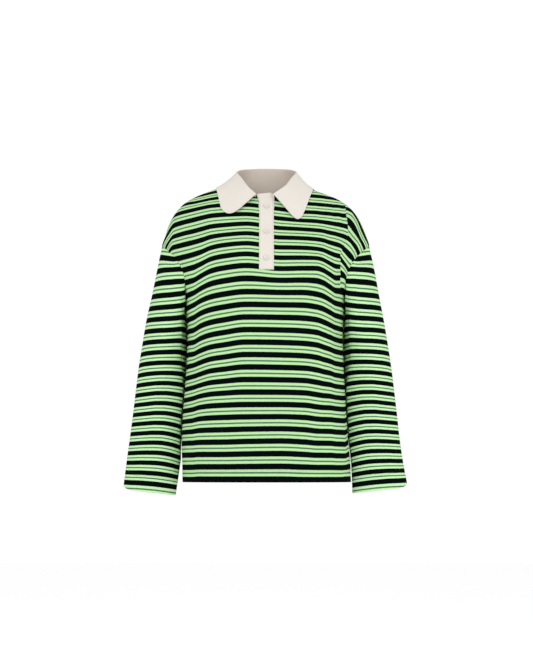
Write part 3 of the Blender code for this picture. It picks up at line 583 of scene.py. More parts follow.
def stitches(name, paths, material, length=0.0026, gap=0.0011, radius=0.00028, sink=0.25):
    """Rows of thread stitches, each a small rounded bar half sunk in the cloth. A path is
    its points and the cloth's outward directions there."""
    sides, ring_at, ring_size = 5, (-0.5, -0.32, 0.32, 0.5), (0.3, 1.0, 1.0, 0.3)
    angles = np.arange(sides) * 2 * math.pi / sides
    template = np.array(
        [
            (t * length, radius * s * math.cos(a), radius * s * math.sin(a))
            for t, s in zip(ring_at, ring_size)
            for a in angles
        ]
    )
    rings = len(ring_at)
    bar = [
        (low + j, low + (j + 1) % sides, low + sides + (j + 1) % sides, low + sides + j)
        for low in range(0, (rings - 1) * sides, sides)
        for j in range(sides)
    ]
    ends = [tuple(reversed(range(sides))), tuple(range((rings - 1) * sides, rings * sides))]
    points, faces = [], []
    for path, outward in paths:
        along = np.concatenate([[0], np.cumsum(np.linalg.norm(np.diff(path, axis=0), axis=1))])
        places = np.arange(gap, along[-1] - length, length + gap) + length / 2
        for place in places:
            middle = np.array([np.interp(place, along, path[:, k]) for k in range(3)])
            ahead = np.array([np.interp(place + 0.001, along, path[:, k]) for k in range(3)])
            out = np.array([np.interp(place, along, outward[:, k]) for k in range(3)])
            run = (ahead - middle) / max(np.linalg.norm(ahead - middle), 1e-9)
            out = out - run * out.dot(run)
            out /= np.linalg.norm(out)
            turned = np.stack([run, np.cross(out, run), out])
            start = len(points) * len(template)
            points.append(template @ turned + middle + out * radius * sink)
            faces += [tuple(start + v for v in face) for face in bar + ends]
    mesh = bpy.data.meshes.new(name)
    mesh.from_pydata(np.concatenate(points).tolist(), [], faces)
    mesh.materials.append(material)
    mesh.shade_smooth()
    mesh.set_sharp_from_angle(angle=math.radians(60))
    return linked(name, mesh)


def row_path(grid, normals, position, closed=False):
    """A path across a grid at a place between its rows, with the outward directions."""
    low, t = int(position), position - int(position)
    path = grid[low] * (1 - t) + grid[low + 1] * t
    outward = normals[low] * (1 - t) + normals[low + 1] * t
    if closed:
        path, outward = np.vstack([path, path[:1]]), np.vstack([outward, outward[:1]])
    return path, outward


def column_path(grid, normals, position):
    """A path along a grid at a place between its columns."""
    return row_path(grid.transpose(1, 0, 2), normals.transpose(1, 0, 2), position)


def armhole_plan(side, turn):
    """Places on the armhole in the front view: turn 0 at the shoulder, pi underarm."""
    middle_z = (SHOULDER_END_Z + UNDERARM_Z) / 2
    z = middle_z + (SHOULDER_END_Z - UNDERARM_Z) / 2 * np.cos(turn)
    return half_width(side, z) - ARMHOLE_SCOOP * np.sin(turn) ** 2, z


def armhole_points(side, turn, face):
    """Places on the armhole, on the body's front or back."""
    x, z = armhole_plan(side, turn)
    folds = FRONT_FOLDS if face == "front" else BACK_FOLDS
    depth = body_depth(side * x, z, face)
    depth = depth + fold_height(folds, side * x, z) * np.sin(turn) ** 2
    depth = np.where(np.sin(turn) < 1e-6, 0.0, depth)
    return np.stack([side * x, -depth if face == "front" else depth, z], axis=-1)


def neckline_plan(turn, face):
    """Places on the neckline in the front view: turn 0 in the middle, 90 at the side."""
    a = np.radians(turn)
    dip = np.maximum(np.cos(a), 0.0) ** NECK_DIP_POWER
    bottom = FRONT_NECK_Z if face == "front" else BACK_NECK_Z
    return NECK_POINT_X * np.sin(a), NECK_POINT_Z + (bottom - NECK_POINT_Z) * dip


def top_edge(side, share, face):
    """The panel's top edge in the front view, from the armhole to the band."""
    step = np.asarray(share, float) * 2
    t = np.clip(step, 0.0, 1.0)
    shoulder_z = SHOULDER_END_Z + (NECK_POINT_Z - SHOULDER_END_Z) * (1 - (1 - t) ** 1.8)
    shoulder_x = half_width(side, shoulder_z)
    band_turn = math.degrees(math.asin(SLOT_HALF / NECK_POINT_X))
    neck_x, neck_z = neckline_plan(90 + (band_turn - 90) * np.clip(step - 1, 0.0, 1.0), face)
    on_shoulder = step <= 1
    return np.where(on_shoulder, shoulder_x, neck_x), np.where(on_shoulder, shoulder_z, neck_z)


def bottom_edge(side, share, z):
    """The columns' places across levels, close together where the body turns away."""
    width, square = half_width(side, z), level("square", z)
    band_angle = np.arcsin((SLOT_HALF / width) ** (square / 2))
    return width * np.sin(math.pi / 2 + (band_angle - math.pi / 2) * share) ** (2 / square)


def upper_places(side, share, rise, face):
    """Places on the upper half of a panel in the front view, blended from its edges."""
    underarm = np.full(np.shape(share), UNDERARM_Z)
    width = half_width(side, underarm)
    mix = smooth(rise / EVEN_FROM)
    even_x = width + (SLOT_HALF - width) * share
    low_x = (1 - mix) * bottom_edge(side, share, underarm) + mix * even_x
    high_x, high_z = top_edge(side, share, face)
    outer_x, outer_z = armhole_plan(side, math.pi * (1 - rise))
    ends = {}
    for a in (0.0, 1.0):
        ends[a, 0] = (float(bottom_edge(side, np.array(a), np.array(UNDERARM_Z))), UNDERARM_Z)
        ends[a, 1] = tuple(float(v) for v in top_edge(side, np.array(a), face))
    found = []
    for axis, (low, high, outer) in enumerate(
        ((low_x, high_x, outer_x), (underarm, high_z, outer_z))
    ):
        inner = ends[1.0, 0][axis] * (1 - rise) + ends[1.0, 1][axis] * rise
        place = (1 - rise) * low + rise * high + (1 - share) * outer + share * inner
        for (a, b), point in ends.items():
            place = place - point[axis] * (share if a else 1 - share) * (rise if b else 1 - rise)
        found.append(place)
    return found


def panel_grids(face, strength):
    """The outer and inner points of the front or the back, and their places in front view."""
    t = np.concatenate(
        [np.linspace(0, 0.5, SHOULDER_COLUMNS + 1), np.linspace(0.5, 1, NECKLINE_COLUMNS + 1)[1:]]
    )
    sign = -1 if face == "front" else 1
    folds = FRONT_FOLDS if face == "front" else BACK_FOLDS
    creases = FRONT_CREASES if face == "front" else BACK_CREASES
    rows = LOWER_ROWS + UPPER_ROWS + 1
    low_z = HEM_Z + (UNDERARM_Z - HEM_Z) * np.arange(LOWER_ROWS) / LOWER_ROWS
    rise = np.arange(UPPER_ROWS + 1) / UPPER_ROWS
    halves = []
    for side in (-1, 1):
        share, z = np.meshgrid(t, low_z)
        low = np.stack([bottom_edge(side, share, z), z], axis=-1)
        share, up = np.meshgrid(t, rise)
        high = np.stack(upper_places(side, share, up, face), axis=-1)
        half = np.concatenate([low, high])
        half[..., 0] *= side
        halves.append(half)
    left, right = halves[0], halves[1][:, ::-1]
    top = FRONT_NECK_Z if face == "front" else BACK_NECK_Z
    middle_z = np.concatenate([low_z, UNDERARM_Z + (top - UNDERARM_Z) * rise])
    u = (np.arange(1, BAND_COLUMNS) / BAND_COLUMNS * 2 - 1)[None, :]
    edge_z = (left[:, -1, 1] + right[:, 0, 1])[:, None] / 2
    band_z = middle_z[:, None] + (edge_z - middle_z[:, None]) * u**2
    band = np.stack([np.repeat(u * SLOT_HALF, rows, axis=0), band_z], axis=-1)
    plan = np.concatenate([left, band, right], axis=1)
    if face == "front":
        across, up = np.abs(plan[..., 0]), plan[..., 1]
        covered = smooth((TUCKED_FROM_Z - up) / TUCKED_FADE)
        covered = covered * smooth((up - SLOT_BOTTOM_Z + 0.012) / 0.01)
        reach = np.minimum(across / SLOT_HALF, 1.0) * (1 - smooth((across - SLOT_HALF) / 0.03))
        plan[..., 0] -= np.sign(plan[..., 0]) * SLOT_TUCKED * covered * reach
    columns = plan.shape[1]
    last = columns - 1
    x, z = plan[..., 0], plan[..., 1]
    c = np.arange(columns)[None, :]
    r = np.arange(rows)[:, None]
    fade = np.minimum(np.minimum(c, last - c) / EDGE_FADE, 1.0)
    fade = fade * np.minimum((rows - 1 - r) / EDGE_FADE, 1.0)
    lift = fold_height(folds, x, z) + strength * fold_height(creases, x, z)
    depth = body_depth(x, z, face) + lift * smooth(fade)
    edge = (c == 0) | (c == last)
    edge = edge | ((r == rows - 1) & ((c <= SHOULDER_COLUMNS) | (c >= last - SHOULDER_COLUMNS)))
    depth = np.where(edge, 0.0, depth)
    for column, side in ((0, -1), (last, 1)):
        turn = math.pi * (1 - rise[1:-1])
        depth[LOWER_ROWS + 1 : -1, column] = sign * armhole_points(side, turn, face)[:, 1]
    outer = np.stack([x, sign * depth, z], axis=-1)
    inward = normals_of(outer) * sign
    top_row = rows - 1
    inward[: LOWER_ROWS + 1, (0, last), 1:] = 0
    inward[top_row, : SHOULDER_COLUMNS + 1, 1] = 0
    inward[top_row, last - SHOULDER_COLUMNS :, 1] = 0
    inward[top_row, SHOULDER_COLUMNS : last - SHOULDER_COLUMNS + 1, 0] = 0
    inward /= np.linalg.norm(inward, axis=2, keepdims=True)
    cloth = bpy.context.scene.shirt.cloth
    inner = outer + cloth * inward
    for grid in (outer, inner):
        grid[: LOWER_ROWS + 1, (0, last), 1] += sign * SEAM_GAP / 2
        grid[top_row, : SHOULDER_COLUMNS + 1, 1] += sign * SEAM_GAP / 2
        grid[top_row, last - SHOULDER_COLUMNS :, 1] += sign * SEAM_GAP / 2
    if face == "back":
        outer, inner, plan = outer[:, ::-1], inner[:, ::-1], plan[:, ::-1]
    return outer, inner, plan


def sleeve_grids(side, strength):
    """A sleeve's outer and inner points from its cuff up, its turns and its shares."""
    share, turn = np.meshgrid(
        np.arange(SLEEVE_ROWS + 1) / SLEEVE_ROWS,
        2 * math.pi * np.arange(SLEEVE_COLUMNS) / SLEEVE_COLUMNS,
        indexing="ij",
    )

    def ring(share, turn):
        name = "left" if side < 0 else "right"
        outer_x = through(SLEEVE["share"], SLEEVE["outer_" + name], share)
        inner_x = through(SLEEVE["share"], SLEEVE["inner_" + name], share)
        rise = RIGHT_SLEEVE_RISE * share if side > 0 else 0.0
        outer_z = SHOULDER_END_Z + (CUFF_OUTER_Z - SHOULDER_END_Z) * share + rise
        inner_z = UNDERARM_Z + (CUFF_INNER_Z - UNDERARM_Z) * share + rise
        scoop = ARMHOLE_SCOOP * np.maximum(1 - share / 0.3, 0.0)
        x = (outer_x + inner_x) / 2 + (outer_x - inner_x) / 2 * np.cos(turn)
        x = x - scoop * np.sin(turn) ** 2
        z = (outer_z + inner_z) / 2 + (outer_z - inner_z) / 2 * np.cos(turn)
        z = z + CUFF_CORNER * share**8 * np.maximum(np.cos(turn), 0.0) ** 6
        depth = through(SLEEVE["share"], SLEEVE["depth"], share)
        y = through(SLEEVE["share"], SLEEVE["middle_y"], share) - depth * np.sin(turn)
        return np.stack([side * x, y, z], axis=-1)

    front = armhole_points(side, np.minimum(turn, math.pi), "front")
    back = armhole_points(side, np.minimum(2 * math.pi - turn, math.pi), "back")
    armhole = np.where((turn <= math.pi)[..., None], front, back)
    fade = (1 - smooth(share / SLEEVE_BLEND))[..., None]
    outer = ring(share, turn) + fade * (armhole - ring(share * 0, turn))
    top, bottom = (armhole_points(side, np.array(a), "front") for a in (0.0, math.pi))
    along = (bottom - top) / np.linalg.norm(bottom - top)
    first = outer[0] + np.array([-along[2] * side, 0.0, along[0] * side]) * SEAM_GAP
    clear = SEAM_GAP + (SLEEVE_CLEAR - SEAM_GAP) * smooth(share / 0.09)
    outer = kept_clear(outer, clear)
    outer[0] = first
    if side > 0:
        outer, turn, share = outer[:, ::-1], turn[:, ::-1], share[:, ::-1]
    outer, turn, share = outer[::-1], turn[::-1], share[::-1]
    lift = sleeve_fold(SLEEVE_FOLDS, share, turn) + strength * sleeve_fold(SLEEVE_CREASES, share, turn)
    lift[0] = lift[-1] = 0.0
    lift *= smooth(share / 0.04)
    outer = outer + normals_of(outer, closed=True) * lift[..., None]
    inner = outer - bpy.context.scene.shirt.cloth * normals_of(outer, closed=True)
    return outer, inner, turn, share


def collar_value(column, turn):
    """One column of the collar's table at turns from the front."""
    return through(COLLAR["turn"], COLLAR[column], turn)


def collar_columns(side, turn, reach):
    """Points across the collar: up the stand, round the fold and down the leaf."""
    name = "left" if side < 0 else "right"
    first = COLLAR["turn"][0]
    front_x, front_z = neckline_plan(turn, "front")
    back_x, back_z = neckline_plan(180 - turn, "back")
    ahead = turn <= 90
    x, z = np.where(ahead, front_x, back_x), np.where(ahead, front_z, back_z)
    y = np.where(ahead, -body_depth(side * x, z, "front"), body_depth(side * x, z, "back"))
    seam = np.stack([side * x, y, z], axis=-1)
    flat = seam * (1, 1, 0)
    seam = seam - flat / np.linalg.norm(flat, axis=-1, keepdims=True) * STAND_INSET
    seam = seam + (0, 0, STAND_LIFT)
    fold_x = collar_value("fold_x", turn)
    near_end = np.maximum(1 - (turn - first) / 20, 0)
    fold_x = fold_x + (FRONT_END_FOLD_X[name] - COLLAR["fold_x"][0]) * near_end
    fold_y, fold_z = collar_value("fold_y", turn), collar_value("fold_z", turn)
    top = np.stack([side * fold_x, fold_y, fold_z], axis=-1)
    edge_x = collar_value("edge_x", turn)
    edge_z = collar_value("edge_z", turn)
    if side > 0:
        edge_x = edge_x - np.interp(turn, (first, 90.0, 180.0), (*RIGHT_LEAF_NARROW, 0.0))
        edge_z = edge_z - np.interp(turn, (first, 60.0), (RIGHT_LEAF_LONGER, 0.0))
    edge = np.stack([side * edge_x, collar_value("edge_y", turn), edge_z], axis=-1)
    edge = kept_clear(edge, LEAF_CLEAR, exact=True)
    out = (top - seam * 0.2) * (1, 1, 0)
    out = out / np.linalg.norm(out, axis=-1, keepdims=True)
    centre = top - (0, 0, FOLD_RADIUS)
    stand_top = centre - out * FOLD_RADIUS
    points = [seam + (stand_top - seam) * t for t in np.arange(STAND_ROWS) / STAND_ROWS]
    for angle in np.linspace(180, 15, FOLD_ROWS):
        a = math.radians(angle)
        points.append(centre + FOLD_RADIUS * (out * math.cos(a) + np.array([0, 0, math.sin(a)])))
    start = centre + out * FOLD_RADIUS
    _, away = body_gap(edge)
    control = start * 0.5 + edge * 0.5 + away * collar_value("bow", turn)[..., None]
    for k in range(LEAF_ROWS + 1):
        t = (k / LEAF_ROWS * reach)[..., None]
        point = (1 - t) ** 2 * start + 2 * t * (1 - t) * control + t * t * edge
        over_neck = np.maximum(point[..., 2] - NECK_POINT_Z, 0.0)
        points.append(kept_clear(point, LEAF_CLEAR - 2.5 * over_neck))
    return np.stack(points, axis=1)


def collar_grid():
    """The middle of the collar's cloth: columns from the left front end to the right one."""
    first = COLLAR["turn"][0]
    halves = []
    for side, name in ((-1, "left"), (1, "right")):
        def edge_at(turn):
            return collar_columns(side, np.array([turn]), np.array([1.0]))[0, -1]

        fold_x = FRONT_END_FOLD_X[name]
        top = np.array([side * fold_x, COLLAR["fold_y"][0], COLLAR["fold_z"][0]])
        tip = edge_at(first)
        run = np.linalg.norm(edge_at(40.0) - tip) / (40.0 - first)
        length, cut = np.linalg.norm(tip - top), CORNER_CUT[name]
        t = 1 - np.arange(CORNER_COLUMNS + 1) / CORNER_COLUMNS
        from_end = cut * (1 - t) ** 2
        lost = cut * (1 - np.sqrt(from_end / cut)) ** 2
        turns = first + from_end / run
        start = turns[-1]
        beyond = start + (180 - start) * np.arange(1, SIDE_COLUMNS + 1) / SIDE_COLUMNS
        turns = np.concatenate([turns, beyond])
        reach = np.concatenate([1 - lost / length, np.ones(SIDE_COLUMNS)])
        halves.append(collar_columns(side, turns, reach))
    grid = np.concatenate([halves[0], halves[1][-2::-1]])
    return grid.transpose(1, 0, 2)[::-1]


def band_grids(left, right, top, bottom, rows, columns, out, lean=0.0):
    """A strip that follows the front, moved out from it. The one that doesn't lean lies in
    the slit and is as wide as that."""
    r, c = np.meshgrid(np.arange(rows + 1), np.arange(columns + 1), indexing="ij")
    z = bottom + (top - bottom) * r / rows
    opened = smooth((z - BAND_LEAN_FROM_Z) / (BAND_TOP_Z - BAND_LEAN_FROM_Z))
    x = left + (right - left) * c / columns - lean * opened
    if lean:
        z = z + BAND_TILT * opened * (2 * c / columns - 1)
    else:
        x = x * (1 - SLOT_TUCKED / right * smooth((TUCKED_FROM_Z - z) / TUCKED_FADE))
    y = -body_depth(x, z, "front")
    up = body_depth(x, z - 0.002, "front") - body_depth(x, z + 0.002, "front")
    normal = np.stack([np.zeros_like(y), np.full_like(y, -0.004), up], axis=-1)
    normal /= np.linalg.norm(normal, axis=2, keepdims=True)
    middle = np.stack([x, y, z], axis=-1)
    return middle + normal * out, middle + normal * (out - BAND_CLOTH)


def node(tree, kind, **values):
    """A new node with its options and its inputs' plain values."""
    made = tree.nodes.new(kind)
    for key, value in values.items():
        if key in made.bl_rna.properties:
            setattr(made, key, value)
        else:
            made.inputs[key].default_value = value
    return made


def math_node(tree, operation, a, b=None, c=None):
    """A maths node fed by sockets or numbers."""
    made = tree.nodes.new("ShaderNodeMath")
    made.operation = operation
    for slot, value in enumerate((a, b, c)):
        if value is None:
            continue
        if isinstance(value, (int, float)):
            made.inputs[slot].default_value = value
        else:
            tree.links.new(value, made.inputs[slot])
    return made.outputs[0]


def ramp_node(tree, value, low, high):
    """A soft step of a value from 0 at low to 1 at high, each a number or a socket."""
    made = tree.nodes.new("ShaderNodeMapRange")
    made.interpolation_type = "SMOOTHSTEP"
    tree.links.new(value, made.inputs["Value"])
    for name, end in (("From Min", low), ("From Max", high)):
        if isinstance(end, (int, float)):
            made.inputs[name].default_value = end
        else:
            tree.links.new(end, made.inputs[name])
    return made.outputs["Result"]


def mix_node(tree, factor, a, b, blend="MIX"):
    """A colour mix fed by sockets or colours."""
    made = tree.nodes.new("ShaderNodeMix")
    made.data_type, made.blend_type = "RGBA", blend
    for name, value in (("Factor_Float", factor), ("A_Color", a), ("B_Color", b)):
        socket = next(s for s in made.inputs if s.identifier == name)
        if isinstance(value, (int, float)):
            socket.default_value = value
        elif isinstance(value, tuple):
            socket.default_value = (*value[:3], 1.0)
        else:
            tree.links.new(value, socket)
    return next(s for s in made.outputs if s.identifier == "Result_Color")


def parts_of(tree, vector):
    """A vector's parts, under the names X, Y and Z."""
    split = node(tree, "ShaderNodeSeparateXYZ")
    tree.links.new(vector, split.inputs[0])
    return split.outputs


def noise_node(tree, vector, scale, detail, roughness, distortion=0.0):
    """Soft noise at places on a map."""
    made = node(tree, "ShaderNodeTexNoise", Scale=scale, Detail=detail, Roughness=roughness)
    made.inputs["Distortion"].default_value = distortion
    tree.links.new(vector, made.inputs["Vector"])
    return made.outputs["Fac"]


def soft_inside(tree, value, share, softness):
    """1 where a value is less than half a share, with a soft step to 0."""
    half = math_node(tree, "MULTIPLY", share, 0.5)
    ends = [math_node(tree, way, half, softness) for way in ("ADD", "SUBTRACT")]
    return ramp_node(tree, value, *ends)


def effect(name, inputs, outputs):
    """A new shader node group with named sockets, and its input and output nodes."""
    group = bpy.data.node_groups.new(name, "ShaderNodeTree")
    for label, kind, value in inputs:
        socket = group.interface.new_socket(name=label, in_out="INPUT", socket_type=kind)
        if value is not None:
            socket.default_value = value
    for label, kind in outputs:
        group.interface.new_socket(name=label, in_out="OUTPUT", socket_type=kind)
    return group, group.nodes.new("NodeGroupInput"), group.nodes.new("NodeGroupOutput")


def stripes_effect():
    """Dark bands and a fine line between them, across the length of the cut."""
    if "Knitted Stripes" in bpy.data.node_groups:
        return bpy.data.node_groups["Knitted Stripes"]
    group, given, result = effect(
        "Knitted Stripes",
        (
            ("Cut", "NodeSocketVector", None),
            ("Tuck", "NodeSocketVector", None),
            ("Repeat", "NodeSocketFloat", 0.0259),
            ("Band Share", "NodeSocketFloat", 0.4),
            ("Line Share", "NodeSocketFloat", 0.08),
            ("Ground", "NodeSocketColor", (0.5, 0.85, 0.4, 1)),
            ("Band", "NodeSocketColor", (0.004, 0.004, 0.005, 1)),
            ("Line", "NodeSocketColor", (0.05, 0.15, 0.08, 1)),
        ),
        (("Color", "NodeSocketColor"), ("Band Mask", "NodeSocketFloat")),
    )
    cut, fold = (parts_of(group, given.outputs[name]) for name in ("Cut", "Tuck"))
    wander = noise_node(group, given.outputs["Cut"], 160.0, 2.0, 0.6)
    shift = math_node(group, "MULTIPLY_ADD", wander, 0.0007, -0.00035)
    along = math_node(group, "ADD", cut["Y"], shift)
    past = math_node(group, "GREATER_THAN", fold["X"], 0.0)
    hidden = math_node(group, "MULTIPLY", past, fold["Y"])
    along = math_node(group, "SUBTRACT", along, hidden)
    count = math_node(group, "DIVIDE", along, given.outputs["Repeat"])
    part = math_node(group, "FRACT", math_node(group, "ADD", count, 0.5))
    off = math_node(group, "ABSOLUTE", math_node(group, "SUBTRACT", part, 0.5))
    band = soft_inside(group, off, given.outputs["Band Share"], 0.018)
    from_line = math_node(group, "SUBTRACT", 0.5, off)
    line = soft_inside(group, from_line, given.outputs["Line Share"], 0.014)
    colour = mix_node(group, line, given.outputs["Ground"], given.outputs["Line"])
    colour = mix_node(group, band, colour, given.outputs["Band"])
    group.links.new(colour, result.inputs["Color"])
    group.links.new(band, result.inputs["Band Mask"])
    return group


def knit_effect():
    """Fine jersey: columns of V-shaped loops, with a faint slanting grain and loose fibres."""
    if "Jersey Loops" in bpy.data.node_groups:
        return bpy.data.node_groups["Jersey Loops"]
    group, given, result = effect(
        "Jersey Loops",
        (
            ("Cut", "NodeSocketVector", None),
            ("Loop Width", "NodeSocketFloat", 0.0013),
            ("Loop Height", "NodeSocketFloat", 0.0011),
            ("Grain", "NodeSocketFloat", 1.0),
        ),
        (("Height", "NodeSocketFloat"), ("Shade", "NodeSocketFloat")),
    )
    cut = parts_of(group, given.outputs["Cut"])
    across = math_node(group, "DIVIDE", cut["X"], given.outputs["Loop Width"])
    off = math_node(group, "SUBTRACT", math_node(group, "FRACT", across), 0.5)
    lean = math_node(group, "MULTIPLY", math_node(group, "ABSOLUTE", off), 1.3)
    along = math_node(group, "DIVIDE", cut["Y"], given.outputs["Loop Height"])
    turns = math_node(group, "MULTIPLY", math_node(group, "SUBTRACT", along, lean), 2 * math.pi)
    wave = math_node(group, "MULTIPLY_ADD", math_node(group, "SINE", turns), 0.5, 0.5)
    groove = ramp_node(group, math_node(group, "ABSOLUTE", off), 0.5, 0.36)
    loops = math_node(group, "MULTIPLY", wave, math_node(group, "MULTIPLY_ADD", groove, 0.7, 0.3))
    fibre = noise_node(group, given.outputs["Cut"], 1400.0, 3.0, 0.7)
    height = math_node(group, "MULTIPLY_ADD", fibre, 0.35, loops)
    slant = math_node(group, "MULTIPLY_ADD", cut["X"], 0.75, cut["Y"])
    grain = math_node(group, "SINE", math_node(group, "MULTIPLY", slant, 2 * math.pi / 0.0052))
    grain = math_node(group, "MULTIPLY", grain, given.outputs["Grain"])
    cloudy = noise_node(group, given.outputs["Cut"], 14.0, 3.0, 0.5)
    shade = math_node(group, "MULTIPLY_ADD", grain, 0.012, 0.955)
    shade = math_node(group, "MULTIPLY_ADD", cloudy, 0.05, shade)
    shade = math_node(group, "MULTIPLY_ADD", loops, 0.04, shade)
    group.links.new(height, result.inputs["Height"])
    group.links.new(shade, result.inputs["Shade"])
    return group


def weave_effect():
    """Fine plain weave with slightly uneven threads."""
    if "Plain Weave" in bpy.data.node_groups:
        return bpy.data.node_groups["Plain Weave"]
    group, given, result = effect(
        "Plain Weave",
        (("Cut", "NodeSocketVector", None), ("Thread", "NodeSocketFloat", 0.0007)),
        (("Height", "NodeSocketFloat"), ("Shade", "NodeSocketFloat")),
    )
    cut = parts_of(group, given.outputs["Cut"])
    waves = []
    for axis in ("X", "Y"):
        turns = math_node(group, "DIVIDE", cut[axis], given.outputs["Thread"])
        waves.append(math_node(group, "SINE", math_node(group, "MULTIPLY", turns, math.pi)))
    weave = math_node(group, "MULTIPLY", waves[0], waves[1])
    uneven = noise_node(group, given.outputs["Cut"], 900.0, 3.0, 0.65)
    height = math_node(group, "MULTIPLY_ADD", weave, 0.5, uneven)
    cloudy = noise_node(group, given.outputs["Cut"], 22.0, 4.0, 0.55)
    shade = math_node(group, "MULTIPLY_ADD", weave, 0.012, 0.965)
    shade = math_node(group, "MULTIPLY_ADD", cloudy, 0.05, shade)
    group.links.new(height, result.inputs["Height"])
    group.links.new(shade, result.inputs["Shade"])
    return group


def plain_material(name, roughness, specular):
    """A new material with its shader, whose constants stand on its own sockets."""
    material = bpy.data.materials.new(name)
    material.use_nodes = True
    shader = material.node_tree.nodes["Principled BSDF"]
    shader.inputs["Roughness"].default_value = roughness
    shader.inputs["Specular IOR Level"].default_value = specular
    return material, material.node_tree, shader


def placed_effect(tree, group, **values):
    """An effect in a material, fed with the cut's map, and the tuck's where it takes that."""
    made = tree.nodes.new("ShaderNodeGroup")
    made.node_tree = group
    for label in ("Cut", "Tuck"):
        if label in made.inputs:
            cut = node(tree, "ShaderNodeUVMap", uv_map=label)
            tree.links.new(cut.outputs["UV"], made.inputs[label])
    for key, value in values.items():
        made.inputs[key].default_value = value
    return made


def bumped(tree, shader, height, strength, distance):
    """Feeds a height to the shader as fine relief."""
    bump = node(tree, "ShaderNodeBump", Strength=strength, Distance=distance)
    tree.links.new(height, bump.inputs["Height"])
    tree.links.new(bump.outputs["Normal"], shader.inputs["Normal"])


def shaded(tree, shader, colour, shade):
    """Feeds a colour to the shader, darkened by a shade."""
    grey = node(tree, "ShaderNodeCombineColor")
    for channel in ("Red", "Green", "Blue"):
        tree.links.new(shade, grey.inputs[channel])
    mixed = mix_node(tree, 1.0, colour, grey.outputs[0], "MULTIPLY")
    tree.links.new(mixed, shader.inputs["Base Color"])


def two_toned(tree, shader, factor, colour, darker):
    """Feeds a colour to the shader that goes over to a darker one."""
    dark = tuple(c * darker for c in colour)
    mixed = mix_node(tree, factor, dark, tuple(colour))
    tree.links.new(mixed, shader.inputs["Base Color"])


def knit_material(name, ground, line):
    """Striped jersey: the stripes' colours, the loops' relief and shade."""
    if name in bpy.data.materials:
        return bpy.data.materials[name]
    shirt = bpy.context.scene.shirt
    material, tree, shader = plain_material(name, 0.95, 0.035)
    stripes = placed_effect(
        tree,
        stripes_effect(),
        Repeat=shirt.stripe_repeat,
        **{"Band Share": shirt.band_share, "Line Share": shirt.line_share},
    )
    stripes.inputs["Ground"].default_value = (*ground, 1)
    stripes.inputs["Band"].default_value = (*shirt.band_colour, 1)
    stripes.inputs["Line"].default_value = (*line, 1)
    loops = placed_effect(tree, knit_effect(), **{"Loop Width": 0.0013, "Loop Height": 0.0011})
    shaded(tree, shader, stripes.outputs["Color"], loops.outputs["Shade"])
    rough = math_node(tree, "MULTIPLY_ADD", stripes.outputs["Band Mask"], -0.06, 0.97)
    tree.links.new(rough, shader.inputs["Roughness"])
    bumped(tree, shader, loops.outputs["Height"], 0.35, 0.0003)
    return material


def ivory_material(name, colour, thread):
    """Ivory cloth with a fine weave."""
    if name in bpy.data.materials:
        return bpy.data.materials[name]
    material, tree, shader = plain_material(name, 0.85, 0.12)
    weave = placed_effect(tree, weave_effect(), Thread=thread)
    shaded(tree, shader, tuple(colour), weave.outputs["Shade"])
    bumped(tree, shader, weave.outputs["Height"], 0.25, 0.0002)
    return material


def thread_material(name, colour):
    """Sewing thread, twisted, with a slight gloss."""
    if name in bpy.data.materials:
        return bpy.data.materials[name]
    material, tree, shader = plain_material(name, 0.6, 0.25)
    place = node(tree, "ShaderNodeTexCoord")
    twist = node(tree, "ShaderNodeTexWave", Scale=1600.0, Distortion=2.0, Detail=1.0)
    tree.links.new(place.outputs["Object"], twist.inputs["Vector"])
    two_toned(tree, shader, twist.outputs["Fac"], colour, 0.82)
    bumped(tree, shader, twist.outputs["Fac"], 0.3, 0.0001)
    return material


def button_material(colour):
    """Pale shell: faint swirls under a soft gloss."""
    if "Pale Button" in bpy.data.materials:
        return bpy.data.materials["Pale Button"]
    material, tree, shader = plain_material("Pale Button", 0.35, 0.4)
    place = node(tree, "ShaderNodeTexCoord")
    swirl = noise_node(tree, place.outputs["Object"], 260.0, 3.0, 0.5, 1.2)
    two_toned(tree, shader, swirl, colour, 0.9)
    rough = math_node(tree, "MULTIPLY_ADD", swirl, 0.2, 0.25)
    tree.links.new(rough, shader.inputs["Roughness"])
    return material


